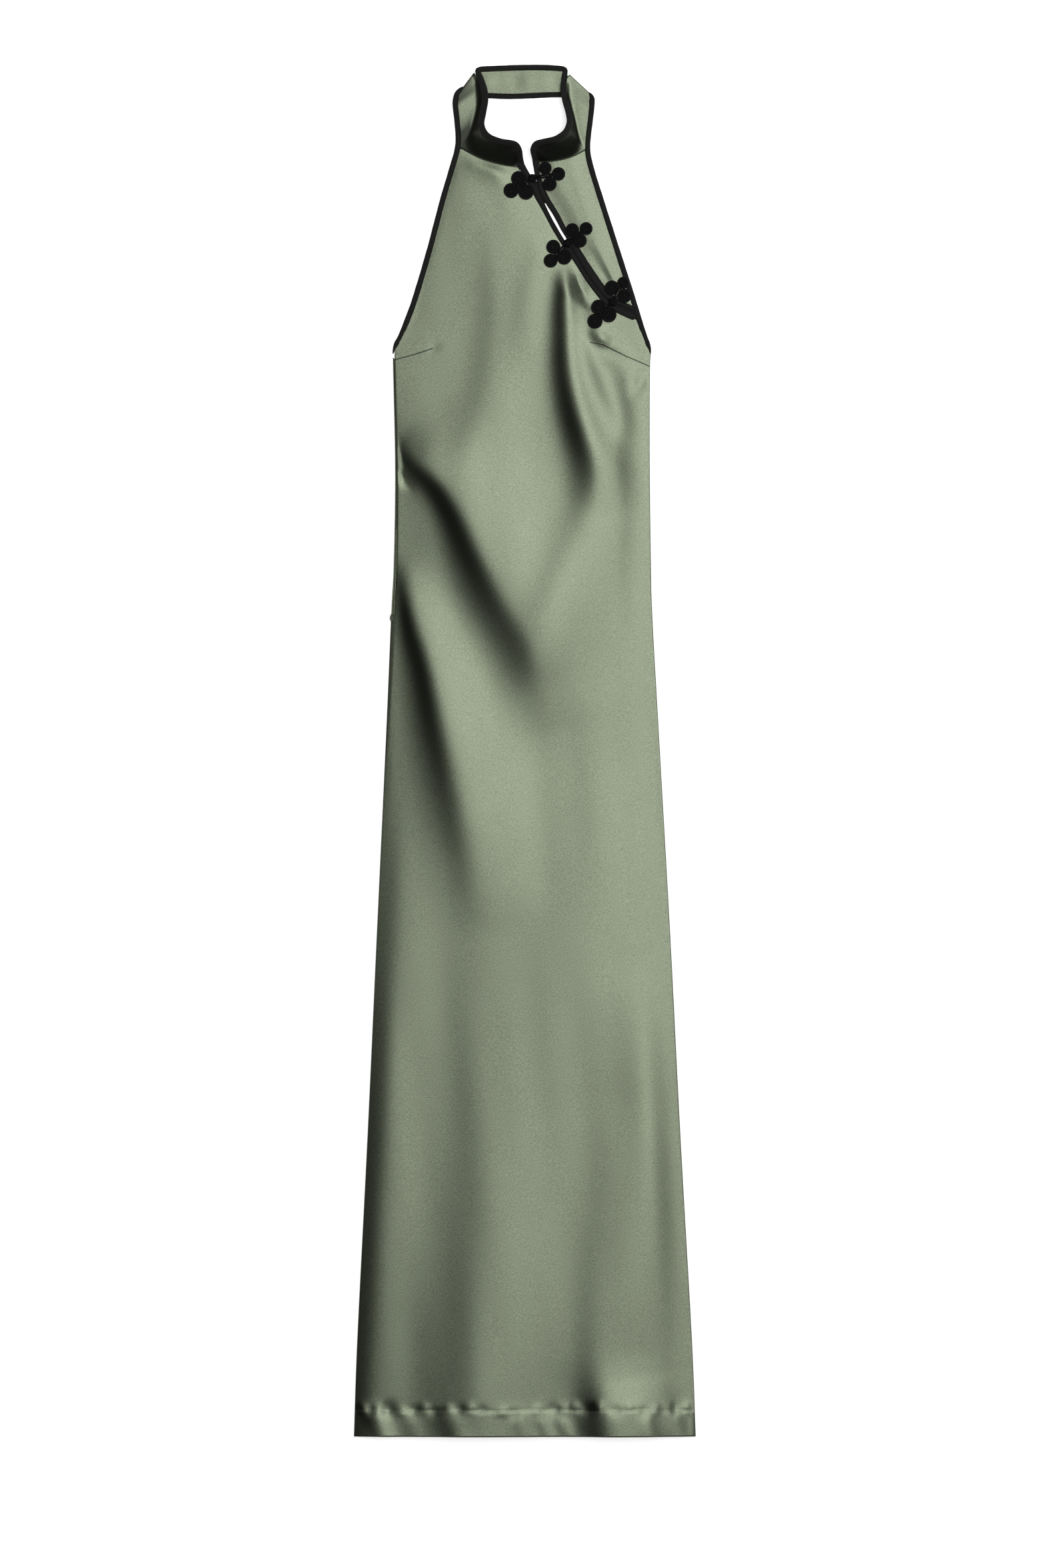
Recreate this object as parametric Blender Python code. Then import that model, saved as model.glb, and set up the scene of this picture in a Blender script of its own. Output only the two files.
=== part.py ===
"""Long halter dress in satin, laid flat on its back, built as the pieces that a maker cuts and sews.

The tables are in millimetres on the garment as it lies: x runs to the viewer's right from the centre
line, y runs up from the hem and z up from the surface. The solids are in metres with their origin at
the middle of the footprint.
"""

import math

import bpy
import numpy as np

MM = 0.001

# Driving dimensions
LENGTH = 1337.4  # hem to the top of the neckband
CLOTH = 1.2  # wall of the satin
SEAM = 0.3  # clear distance between two pieces that are sewn together
BINDING_THICKNESS = 2.4
LAYER = 1.5  # height of the front's underside above the surface where it lies on the back
BODICE_LAYER = 0.6  # the same above the back's low neckline, where only bindings lie under it
SIDE_POINT = 1056.0  # height at which the side seam meets the armhole
PUFF = 2.2  # how far air holds the skirt's front up
BODICE_PUFF = 1.0
PUFF_REACH = 84.0  # how far from the sides the front reaches that height
LEFT_REACH = 20.0  # how far from the left and the right side the folds reach their full height
RIGHT_REACH = 34.0
YOKE_PUFF = 0.9
ZIP_TOP = 1046.0
ZIP_END = 799.0
ZIP_THICKNESS = 2.0
COIL_THICKNESS = 2.2
COIL_SEGMENTS = 14

# Sections along a binding, which the cloth beside it shares
ARMHOLE_SECTIONS = 33
COLLAR_SECTIONS = 27
OPENING_SECTIONS = 19
NECK_SECTIONS = 19
NEAREST_ROWS = 3.5  # rows of cloth are no closer than this beside a binding

# Looks: base colour, roughness and sheen
SATIN = {"colour": (0.26, 0.30, 0.205), "roughness": 0.42, "sheen": 0.2}
TRIM = {"colour": (0.013, 0.014, 0.013), "roughness": 0.6, "sheen": 0.1}
CORD = {"colour": (0.010, 0.010, 0.011), "roughness": 0.75, "sheen": 0.0}


def table(columns, *rows):
    """One array for each named column."""
    return dict(zip(columns.split(), np.array(rows, float).T))


# Outline of the side seams
SIDES = table(
    "y left right",
    (0, -166.7, 166.7),
    (95, -163.4, 162.9),
    (290, -153.6, 151.9),
    (485, -144.6, 142.0),
    (680, -135.5, 131.0),
    (800, -130.4, 124.3),
    (850, -127.9, 123.0),
    (940, -126.5, 121.8),
    (1036, -128.4, 121.9),
    (1056, -128.6, 122.9),
)

# How far the seam of the front lies inside the outline on the left, where the back shows past it
SEAM_INSET = table(
    "y inset",
    (0, 0.0),
    (600, 0.4),
    (700, 2.2),
    (800, 3.4),
    (870, 2.8),
    (950, 1.8),
    (1050, 1.6),
)

# Neck seams between the bodice and the collar, from the front opening out to the armhole
NECK_SEAM_LEFT = table(
    "x y",
    (-7.2, 1238.2),
    (-15, 1239.0),
    (-26.3, 1241.2),
    (-40, 1245.2),
    (-52.3, 1250.8),
    (-62.0, 1256.4),
)
OPENING_CORNER = (109.4, 1085.6)  # where the front opening runs out at the armhole
YOKE_TIP = 1105.0  # height of the yoke's lowest corner
NECK_SEAM_RIGHT = table(
    "x y",
    (13.6, 1242.4),
    (23.5, 1243.0),
    (34.7, 1244.6),
    (47.1, 1248.3),
    (58.6, 1254.4),
)

# Bindings, each by its middle line: width, and height of its underside at the cloth and at its free edge
ARMHOLE_LEFT = table(
    "x y width cloth_z free_z",
    (-127.3, 1060.0, 2.4, 1.5, 1.5),
    (-125.2, 1065.2, 5.0, 0.6, 0.6),
    (-121.2, 1072.0, 5.4, 0.0, 0.0),
    (-115.0, 1087.0, 5.6, 0.0, 0.0),
    (-106.4, 1111.0, 5.6, 0.0, 0.0),
    (-92.8, 1157.0, 5.6, 0.0, 0.0),
    (-80.4, 1204.0, 5.6, 0.0, 0.0),
    (-71.3, 1235.0, 5.6, 0.0, 0.0),
    (-66.2, 1253.0, 5.6, 0.0, 0.0),
    (-64.8, 1266.0, 5.6, 0.0, 0.0),
    (-66.2, 1284.0, 5.6, 0.4, 0.0),
    (-67.6, 1298.0, 5.6, 2.2, 1.6),
    (-67.0, 1304.5, 5.4, 3.0, 2.9),
    (-64.9, 1308.4, 4.6, 3.0, 2.9),
)
ARMHOLE_RIGHT = table(
    "x y width cloth_z free_z",
    (121.7, 1060.0, 2.4, 1.5, 1.5),
    (119.6, 1065.0, 5.0, 0.6, 0.6),
    (117.0, 1071.5, 5.4, 0.0, 0.0),
    (111.8, 1087.0, 5.6, 0.0, 0.0),
    (104.7, 1110.5, 5.6, 0.0, 0.0),
    (89.6, 1157.3, 5.6, 0.0, 0.0),
    (74.6, 1204.1, 5.6, 0.0, 0.0),
    (64.9, 1235.3, 5.6, 0.0, 0.0),
    (61.3, 1252.0, 5.6, 0.0, 0.0),
    (61.5, 1266.0, 5.6, 0.0, 0.0),
    (63.6, 1283.0, 5.6, 0.4, 0.0),
    (65.0, 1296.5, 5.6, 2.2, 1.6),
    (65.2, 1301.5, 5.4, 3.0, 2.9),
    (64.6, 1304.6, 4.6, 3.0, 2.9),
)
COLLAR_TOP_LEFT = table(
    "x y width cloth_z free_z",
    (-46.0, 1330.6, 5.0, 3.4, 3.2),
    (-43.0, 1323.5, 5.6, 5.6, 6.6),
    (-39.3, 1312.0, 6.2, 7.4, 9.2),
    (-38.6, 1301.0, 6.2, 9.4, 11.8),
    (-40.6, 1288.0, 6.0, 11.6, 14.6),
    (-41.7, 1277.0, 5.6, 13.6, 17.0),
    (-36.4, 1267.4, 5.2, 15.2, 19.0),
    (-25.0, 1262.2, 4.8, 16.0, 20.2),
    (-14.9, 1260.4, 4.8, 16.2, 20.4),
    (-8.6, 1258.4, 5.2, 15.8, 19.6),
    (-5.7, 1253.4, 5.8, 13.6, 15.4),
    (-4.8, 1247.0, 6.2, 6.6, 7.4),
    (-4.2, 1243.0, 6.2, 1.5, 1.5),
    (-3.5, 1239.9, 6.2, 0.8, 0.8),
)
COLLAR_TOP_RIGHT = table(
    "x y width cloth_z free_z",
    (39.0, 1329.8, 5.0, 3.4, 3.2),
    (37.9, 1320.6, 5.4, 5.6, 6.6),
    (37.0, 1311.0, 5.4, 7.4, 9.2),
    (39.2, 1300.0, 5.4, 9.4, 11.8),
    (42.2, 1288.0, 5.2, 11.6, 14.6),
    (42.6, 1279.0, 5.0, 13.2, 16.6),
    (38.6, 1270.4, 4.8, 15.0, 18.8),
    (29.6, 1264.4, 4.6, 16.0, 20.0),
    (18.0, 1261.6, 4.6, 16.2, 20.4),
    (10.6, 1259.2, 4.9, 15.8, 19.6),
    (7.6, 1253.9, 5.0, 13.6, 15.4),
    (8.8, 1248.6, 5.2, 7.0, 7.6),
    (9.7, 1244.8, 5.2, 1.5, 1.5),
    (10.2, 1242.9, 5.2, 0.8, 0.8),
)
OPENING_FRONT = table(
    "x y width cloth_z free_z",
    (-3.0, 1238.4, 6.2, 0.6, 0.6),
    (0.4, 1231.0, 5.8, 0.6, 0.6),
    (7.6, 1216.8, 5.0, 0.6, 0.6),
    (15.6, 1201.6, 4.6, 0.6, 0.6),
    (25.5, 1183.7, 4.6, 0.6, 0.6),
    (35.8, 1166.2, 4.6, 0.6, 0.6),
    (49.0, 1146.9, 4.2, 0.6, 0.6),
    (61.2, 1127.9, 4.3, 0.6, 0.6),
    (68.4, 1117.9, 4.5, 0.6, 0.6),
    (76.0, 1108.6, 4.8, 0.6, 0.6),
    (82.6, 1102.4, 5.0, 0.6, 0.6),
    (90.0, 1098.4, 5.8, 0.6, 0.6),
    (98.0, 1094.6, 6.4, 0.6, 0.6),
    (104.8, 1091.6, 6.4, 0.6, 0.6),
)
OPENING_YOKE = table(
    "x y width cloth_z free_z",
    (10.6, 1240.8, 5.2, 0.6, 0.6),
    (12.0, 1231.0, 5.2, 0.6, 0.6),
    (14.4, 1220.0, 5.4, 0.6, 0.6),
    (22.2, 1204.9, 5.4, 0.6, 0.6),
    (34.5, 1184.8, 5.4, 0.6, 0.6),
    (44.6, 1166.6, 5.8, 0.6, 0.6),
    (55.7, 1147.7, 6.6, 0.6, 0.6),
    (68.3, 1128.4, 7.0, 0.6, 0.6),
    (75.4, 1118.8, 6.8, 0.6, 0.6),
    (82.0, 1111.4, 6.0, 0.6, 0.6),
    (90.2, 1106.2, 4.6, 0.6, 0.6),
    (97.6, 1103.3, 4.4, 0.6, 0.6),
    (103.2, 1100.6, 4.4, 0.6, 0.6),
)
BAND_TOP = table(
    "x y width cloth_z free_z",
    (-43.4, 1332.4, 5.2, 0.0, 0.0),
    (-19.8, 1333.9, 5.4, 0.0, 0.0),
    (6.2, 1334.6, 5.4, 0.0, 0.0),
    (25.0, 1334.2, 5.4, 0.0, 0.0),
    (37.2, 1332.2, 5.2, 0.0, 0.0),
)
BAND_BOTTOM = table(
    "x y width cloth_z free_z",
    (-61.0, 1305.8, 4.8, 0.0, 0.0),
    (-36.0, 1306.8, 5.0, 0.0, 0.0),
    (-11.4, 1306.2, 5.0, 0.0, 0.0),
    (34.8, 1307.9, 5.0, 0.0, 0.0),
    (57.5, 1306.0, 4.8, 0.0, 0.0),
)

# The back's low neckline, which the front hides
BACK_NECK = table(
    "x y width cloth_z free_z",
    (-119.5, 1047.0, 5.2, 0.0, 0.0),
    (-96.0, 1021.0, 5.6, 0.0, 0.0),
    (-52.0, 994.0, 5.6, 0.0, 0.0),
    (-3.0, 985.0, 5.6, 0.0, 0.0),
    (46.0, 994.0, 5.6, 0.0, 0.0),
    (90.0, 1021.0, 5.6, 0.0, 0.0),
    (113.5, 1047.0, 5.2, 0.0, 0.0),
)

# The collar's halves: from the front opening (0) to the fold at the side of the neck (1), height of the lower
# edge and how far the band bows up between its edges. Then the heights at which its edges end, and the fold
WING_LEFT = {
    "share": (0.0, 0.2, 0.4, 0.52, 0.7, 0.88, 1.0),
    "low_z": (1.4, 1.4, 1.4, 1.4, 1.9, 3.6, 4.2),
    "bow": (0.0, 0.8, 1.6, 2.4, 3.2, 2.4, 0.4),
    "arm_end": 1302.0,
    "top_end": 1325.0,
    "fold": table("x y", (-60.8, 1314.0), (-49.6, 1329.0)),
}
WING_RIGHT = {
    "share": (0.0, 0.2, 0.4, 0.52, 0.7, 0.88, 1.0),
    "low_z": (1.4, 1.4, 1.4, 1.4, 1.9, 3.6, 4.2),
    "bow": (0.0, 0.8, 1.6, 2.2, 2.8, 2.0, 0.4),
    "arm_end": 1300.0,
    "top_end": 1323.0,
    "fold": table("x y", (62.8, 1309.4), (43.4, 1327.4)),
}
BAND_BELOW = (-55.5, 56.5)  # ends of the band behind along its lower edge, and along its upper edge
BAND_ABOVE = (-43.0, 39.0)
FOLD_TOP = 4.6  # middle of the cloth above the surface along the collar's side folds
FOLD_UNDER = 1.0  # how far the rolled cloth reaches back under the fold
TURN_FROM = 0.84  # share of the band at which it begins to come down to the fold
SEAM_RISE = 0.65  # the collar's lower edge above the neck seam

# Folds of the front. Each has its crest's line, how far it rises, and how far it falls away to the
# viewer's left or hem side and to the viewer's right or collar side
FOLDS = {
    "hip_right": table(
        "x y rise left right",
        (112, 990, 0, 22, 36),
        (93, 960, 2.0, 23, 40),
        (76, 926, 3.3, 24, 44),
        (62, 889, 3.9, 24, 46),
        (48, 851, 3.9, 24, 46),
        (33, 813, 3.4, 25, 46),
        (19, 765, 2.4, 26, 44),
        (2, 670, 0, 28, 42),
    ),
    "skirt_left": table(
        "x y rise left right",
        (-44, 640, 0, 34, 80),
        (-36, 500, 1.8, 36, 82),
        (-30, 380, 2.8, 40, 80),
        (-28, 280, 4.0, 44, 78),
        (-32, 190, 6.0, 48, 74),
        (-38, 110, 7.8, 50, 70),
        (-43, 40, 8.8, 50, 64),
        (-45, 0, 8.8, 48, 62),
    ),
    "skirt_right": table(
        "x y rise left right",
        (104, 460, 0, 40, 60),
        (120, 350, 3.0, 42, 60),
        (118, 230, 3.6, 42, 60),
        (108, 130, 2.6, 42, 60),
        (98, 60, 1.2, 38, 60),
        (94, 0, 0.6, 38, 60),
    ),
    "skirt_middle": table(
        "x y rise left right",
        (70, 660, 0, 44, 64),
        (62, 550, 1.3, 46, 64),
        (58, 440, 1.4, 46, 64),
        (60, 320, 0, 46, 64),
    ),
    "bodice_left": table(
        "x y rise left right",
        (-38, 1215, 0, 16, 50),
        (-30, 1160, 1.0, 16, 55),
        (-26, 1108, 1.6, 16, 55),
        (-28, 1062, 1.7, 16, 55),
        (-36, 1020, 1.6, 16, 50),
        (-46, 980, 1.2, 16, 45),
        (-54, 950, 0.5, 16, 40),
        (-58, 925, 0, 16, 40),
    ),
    "bodice_middle": table(
        "x y rise left right",
        (14, 1180, 0, 12, 26),
        (10, 1138, 0.8, 12, 28),
        (6, 1108, 1.1, 12, 30),
        (3, 1076, 0.9, 12, 30),
        (2, 1036, 0, 12, 30),
    ),
}

# The same for crisper folds, whose left sides are steepest beside the crest
CRISP_FOLDS = {
    "waist_drag": table(
        "x y rise left right",
        (-127, 962, 0.5, 6, 30),
        (-114, 953, 2.8, 7, 36),
        (-99, 942, 5.0, 9, 46),
        (-81, 925, 6.4, 11, 56),
        (-65, 901, 7.6, 14, 66),
        (-51, 873, 8.6, 18, 74),
        (-36, 844, 9.2, 22, 80),
        (-20, 814, 9.2, 26, 80),
        (-3, 784, 8.2, 31, 76),
        (9, 758, 6.0, 35, 72),
        (18, 728, 3.0, 38, 66),
        (26, 685, 0, 38, 60),
    ),
    "hip_drag": table(
        "x y rise left right",
        (-127, 856, 0, 6, 20),
        (-118, 826, 2.4, 6, 24),
        (-108, 791, 4.8, 9, 32),
        (-94, 748, 6.6, 13, 38),
        (-83, 700, 7.4, 17, 44),
        (-72, 652, 7.2, 20, 50),
        (-62, 602, 5.6, 23, 52),
        (-53, 555, 3.2, 26, 52),
        (-45, 490, 0, 28, 52),
    ),
    "bust_deep": table(
        "x y rise left right",
        (42, 1170, 0, 6, 9),
        (42.5, 1148, 2.0, 6, 9),
        (41, 1130, 4.8, 6, 9),
        (40, 1100, 6.2, 7, 10),
        (41, 1062, 6.4, 8.5, 12),
        (44, 1032, 6.6, 10.5, 15),
        (51, 1001, 7.4, 13, 18),
        (59, 975, 7.4, 15, 22),
        (65, 952, 5.6, 17, 26),
        (68, 930, 2.8, 19, 30),
        (70, 900, 0, 20, 30),
    ),
    "bust_outer": table(
        "x y rise left right",
        (56, 1146, 0, 5, 8),
        (57, 1124, 2.2, 5.5, 9),
        (56, 1100, 3.0, 6, 10),
        (58, 1078, 3.8, 7, 12),
        (64, 1056, 4.6, 9, 16),
        (73, 1036, 5.0, 12, 19),
        (84, 1010, 4.8, 15, 22),
        (96, 988, 3.2, 17, 24),
        (106, 972, 1.0, 18, 24),
        (112, 962, 0, 18, 24),
    ),
    "left_edge": table(
        "x y rise left right",
        (-112, 700, 0, 20, 34),
        (-117, 600, 0.8, 20, 36),
        (-124, 490, 1.8, 20, 38),
        (-131, 365, 2.6, 20, 40),
        (-138, 240, 3.0, 20, 40),
        (-144, 120, 3.2, 20, 40),
        (-149, 0, 3.2, 20, 40),
    ),
    "neck_roll": table(
        "x y rise left right",
        (-60, 1249, 0, 7, 6),
        (-46, 1241, 1.8, 8, 7),
        (-28, 1234, 2.6, 9, 7),
        (-12, 1232, 1.6, 9, 7),
        (-6, 1231, 0, 8, 6),
    ),
    "hem_big": table(
        "x y rise left right",
        (84, 330, 0, 24, 50),
        (78, 230, 1.4, 28, 54),
        (70, 133, 3.0, 30, 56),
        (68, 84, 4.0, 26, 58),
        (70, 56, 5.4, 20, 58),
        (73, 37, 7.4, 18, 58),
        (77, 18, 9.0, 21, 58),
        (81, 0, 9.2, 23, 58),
    ),
}
CRISP = 1.45  # power of the crisp folds' left sides, where a plain bell has 2

# Short folds that run down through the hem: where each starts and ends, and its rise
HEM_RIPPLES = table(
    "x_top y_top x_hem rise width",
    (-152, 40, -138, 1.6, 10),
    (-80, 36, -66, 1.1, 12),
    (114, 44, 122, 1.0, 8),
    (142, 40, 152, 1.2, 9),
)

# Frog fastenings: the middle and radius of each coil, the button, and the coils on each side of the opening
FROG_COILS = {
    "frog_1_left": table("x y radius", (-6.1, 1226.2, 7.1), (-13.4, 1214.4, 7.2), (1.1, 1213.2, 7.5)),
    "frog_1_right": table("x y radius", (19.8, 1236.1, 6.2), (32.8, 1230.5, 6.4), (24.1, 1220.7, 6.8)),
    "frog_2_left": table("x y radius", (27.9, 1159.5, 6.8), (25.1, 1146.0, 6.6), (38.4, 1149.7, 7.2)),
    "frog_2_right": table("x y radius", (46.3, 1175.9, 6.5), (59.7, 1177.2, 6.2), (53.4, 1165.6, 6.8)),
    "frog_3_left": table("x y radius", (72.0, 1100.9, 7.1), (68.4, 1087.0, 7.2), (81.9, 1093.6, 7.4)),
    "frog_3_right": table("x y radius", (85.0, 1119.5, 7.1), (96.0, 1124.5, 5.8), (97.0, 1111.8, 6.8)),
}
FROG_BUTTONS = table("x y", (7.3, 1226.4), (41.8, 1163.2), (85.9, 1105.8))
BUTTON_RADIUS = 3.0
BUTTON_SQUASH = 0.8
STEM_WIDTH = 2.6
HUB_THICKNESS = 1.5
HUB_LIFT = 0.2  # the hub's underside above the coils'
COIL_STEP = 0.02  # keeps the faces of joined coils out of one plane


def clear_scene():
    for item in list(bpy.data.objects):
        bpy.data.objects.remove(item)


def material(name, look):
    made = bpy.data.materials.new(name)
    made.use_nodes = True
    shader = made.node_tree.nodes["Principled BSDF"]
    shader.inputs["Base Color"].default_value = (*look["colour"], 1.0)
    shader.inputs["Roughness"].default_value = look["roughness"]
    shader.inputs["Metallic"].default_value = 0.0
    shader.inputs["Sheen Weight"].default_value = look["sheen"]
    made.diffuse_color = (*look["colour"], 1.0)
    return made


def smoothstep(value):
    value = np.clip(value, 0.0, 1.0)
    return value * value * (3.0 - 2.0 * value)


def spline(points, samples):
    """Evenly spaced points of the smooth curve through the rows of points."""
    points = np.asarray(points, float)
    before = 2.0 * points[0] - points[1]
    after = 2.0 * points[-1] - points[-2]
    held = np.vstack([before, points, after])
    steps = 16
    fine = []
    for i in range(1, len(held) - 2):
        p0, p1, p2, p3 = held[i - 1 : i + 3]
        square = 2 * p0 - 5 * p1 + 4 * p2 - p3
        cube = 3 * p1 - p0 - 3 * p2 + p3
        for u in np.arange(steps) / steps:
            fine.append(0.5 * (2 * p1 + (p2 - p0) * u + square * u**2 + cube * u**3))
    fine.append(points[-1])
    return resample(np.array(fine), samples)


def resample(points, samples):
    """The polyline again at even steps of its length in plan, or at the given shares of it."""
    along = length_shares(points)
    wanted = np.linspace(0.0, 1.0, samples) if np.isscalar(samples) else np.asarray(samples)
    return np.stack([np.interp(wanted, along, column) for column in points.T], axis=1)


def between_heights(points, low, high):
    """The part of a rising polyline between two heights, ending exactly at them."""
    order = np.argsort(points[:, 1])
    points = points[order]
    ends = [np.array([np.interp(y, points[:, 1], column) for column in points.T]) for y in (low, high)]
    inside = points[(points[:, 1] > low + NEAREST_ROWS) & (points[:, 1] < high - NEAREST_ROWS)]
    return np.vstack([ends[0], inside, ends[1]])


def length_shares(points):
    """How far along its length each point of a polyline lies, from 0 to 1."""
    along = np.concatenate([[0.0], np.cumsum(np.linalg.norm(np.diff(points[:, :2], axis=0), axis=1))])
    return along / along[-1]


def columns(rows, names):
    return np.stack([rows[name] for name in names.split()], axis=1)


def plan_normals(line):
    """Unit normals in plan, to the left of the way that the line runs."""
    way = np.gradient(line[:, :2], axis=0)
    way /= np.linalg.norm(way, axis=1)[:, None]
    return np.stack([-way[:, 1], way[:, 0]], axis=1)


def binding_edge(rows, side, samples, gap=SEAM):
    """The line that a binding's cloth keeps clear of, on its left (1) or right (-1), with its height."""
    line = spline(columns(rows, "x y width cloth_z free_z"), samples)
    out = plan_normals(line) * side
    edge = line[:, :2] + out * (line[:, 2] / 2 + gap)[:, None]
    return np.column_stack([edge, line[:, 3]])


def mesh_object(name, points, faces, look, smooth_angle=40.0):
    placed = (np.asarray(points, float) - [0.0, LENGTH / 2, 0.0]) * MM
    mesh = bpy.data.meshes.new(name)
    mesh.from_pydata(placed.tolist(), [], [list(face) for face in faces])
    mesh.materials.append(material(name, look))
    mesh.shade_smooth()
    mesh.set_sharp_from_angle(angle=math.radians(smooth_angle))
    made = bpy.data.objects.new(name, mesh)
    bpy.context.scene.collection.objects.link(made)
    return made


def grid_triangles(rows, cols, first=0, flip=False):
    faces = []
    for i in range(rows - 1):
        for j in range(cols - 1):
            a = first + i * cols + j
            b, c, d = a + 1, a + cols + 1, a + cols
            pair = [(a, b, c), (a, c, d)]
            faces += [tri[::-1] for tri in pair] if flip else pair
    return faces


def thick_sheet(name, middle, look, thickness=CLOTH):
    """A closed wall of even thickness about a grid of points whose columns run right and rows run up."""
    rows, cols, _ = middle.shape
    across = np.gradient(middle, axis=1)
    upwards = np.gradient(middle, axis=0)
    normal = np.cross(across, upwards)
    normal /= np.linalg.norm(normal, axis=2)[:, :, None]
    outer = (middle + normal * thickness / 2).reshape(-1, 3)
    inner = (middle - normal * thickness / 2).reshape(-1, 3)
    count = rows * cols
    faces = grid_triangles(rows, cols) + grid_triangles(rows, cols, count, flip=True)
    ring = [j for j in range(cols)]
    ring += [i * cols + cols - 1 for i in range(1, rows)]
    ring += [(rows - 1) * cols + j for j in range(cols - 2, -1, -1)]
    ring += [i * cols for i in range(rows - 2, 0, -1)]
    for a, b in zip(ring, ring[1:] + ring[:1]):
        faces += [(a, a + count, b + count), (a, b + count, b)]
    return mesh_object(name, np.vstack([outer, inner]), faces, look)


def ribbon(name, rows, samples, look, cloth_side=1, thickness=BINDING_THICKNESS):
    """A folded binding: a strip with rounded shoulders that follows its middle line."""
    line = spline(columns(rows, "x y width cloth_z free_z"), samples)
    out = plan_normals(line) * cloth_side
    half = (line[:, 2] / 2)[:, None]
    cloth = np.column_stack([line[:, :2] + out * half, line[:, 3]])
    free = np.column_stack([line[:, :2] - out * half, line[:, 4]])
    way = np.gradient((cloth + free) / 2, axis=0)
    up = np.cross(free - cloth, way) * cloth_side
    up /= np.linalg.norm(up, axis=1)[:, None]
    section = [(0.0, 0.12), (0.06, 0.0), (0.94, 0.0), (1.0, 0.3), (0.84, 1.0), (0.16, 1.0)]
    points = [cloth + (free - cloth) * across + up * thickness * high for across, high in section]
    points = np.stack(points, axis=1).reshape(-1, 3)
    points[:, 2] = np.maximum(points[:, 2], 0.0)
    sides = len(section)
    faces = []
    for i in range(len(line) - 1):
        for j in range(sides):
            a, b = i * sides + j, i * sides + (j + 1) % sides
            faces += [(a, b, b + sides), (a, b + sides, a + sides)]
    faces += [(0, j + 1, j) for j in range(1, sides - 1)]
    last = (len(line) - 1) * sides
    faces += [(last, last + j, last + j + 1) for j in range(1, sides - 1)]
    if cloth_side < 0:
        faces = [face[::-1] for face in faces]
    return mesh_object(name, points, [face[::-1] for face in faces], look)


def fold_rise(x, y, folds, power):
    """Height that folds add at each point, from the distance to each one's crest.

    The power is that of the bell's left side, and its right side has 2.
    """
    total = np.zeros_like(x)
    for rows in folds.values():
        line = spline(columns(rows, "x y rise left right"), 90)
        way = np.gradient(line[:, :2], axis=0)
        dx = x[..., None] - line[:, 0]
        dy = y[..., None] - line[:, 1]
        near = np.argmin(dx**2 + dy**2, axis=-1)
        gap = np.take_along_axis(np.sqrt(dx**2 + dy**2), near[..., None], axis=-1)[..., 0]
        side = np.take_along_axis(dx * -way[:, 1] + dy * way[:, 0], near[..., None], axis=-1)[..., 0]
        width = np.where(side > 0, line[near, 4], line[near, 3])
        total += np.maximum(line[near, 2], 0.0) * np.exp(-((gap / width) ** np.where(side > 0, 2.0, power)))
    return total


def hem_rise(x, y):
    total = np.zeros_like(x)
    for top_x, top_y, hem_x, rise, width in columns(HEM_RIPPLES, "x_top y_top x_hem rise width"):
        down = np.clip(1.0 - y / top_y, 0.0, 1.0)
        middle = top_x + (hem_x - top_x) * down
        total += rise * smoothstep(down * 1.6) * np.exp(-(((x - middle) / width) ** 2))
    return total


def arch(value, power):
    """Rises steeply from 0 and levels out at 1."""
    return 1.0 - (1.0 - np.clip(value, 0.0, 1.0)) ** power


def side_edges(height):
    """Left and right outline at each height."""
    sampled = spline(columns(SIDES, "left y right"), 200)
    order = np.argsort(sampled[:, 1])
    left = np.interp(height, sampled[order, 1], sampled[order, 0])
    right = np.interp(height, sampled[order, 1], sampled[order, 2])
    return left, right


def front_edges():
    """The front panel's left and right edges, row by row from the hem to the neck seam."""
    hem_rows = [0, 12, 24, 38, 58, 84]
    skirt_rows = list(np.linspace(112, SIDE_POINT, 33))
    heights = np.array(hem_rows + skirt_rows)
    left, right = side_edges(heights)
    left = left + np.interp(heights, SEAM_INSET["y"], SEAM_INSET["inset"])
    lower_left = np.column_stack([left, heights])
    lower_right = np.column_stack([right, heights])
    neck = columns(NECK_SEAM_LEFT, "x y")
    upper_left = binding_edge(ARMHOLE_LEFT, -1, ARMHOLE_SECTIONS)[:, :2]
    upper_left = between_heights(upper_left, SIDE_POINT + 4.5, neck[-1, 1] - SEAM)
    side = binding_edge(ARMHOLE_RIGHT, 1, ARMHOLE_SECTIONS)[:, :2]
    side = between_heights(side, SIDE_POINT + 4.5, OPENING_CORNER[1] - 3)
    opening = binding_edge(OPENING_FRONT, -1, OPENING_SECTIONS)[:, :2]
    opening = between_heights(opening, OPENING_CORNER[1] + 2.2, neck[0, 1] - SEAM)
    right_part = np.vstack([side, np.array(OPENING_CORNER)[None], opening])
    left_part = resample(np.vstack([lower_left[-1:], upper_left]), len(right_part) + 1)[1:]
    return np.vstack([lower_left, left_part]), np.vstack([lower_right, right_part])


def sheet_columns(count):
    """Shares of a row's width, closer together at its ends."""
    even = np.linspace(0.0, 1.0, count)
    return 0.7 * even + 0.3 * (0.5 - 0.5 * np.cos(math.pi * even))


def front_layer(y):
    """Height of the front's underside along its edges, which comes down past the back's neckline."""
    return BODICE_LAYER + (LAYER - BODICE_LAYER) * (1.0 - smoothstep((y - SIDE_POINT) / 40.0))


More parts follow.
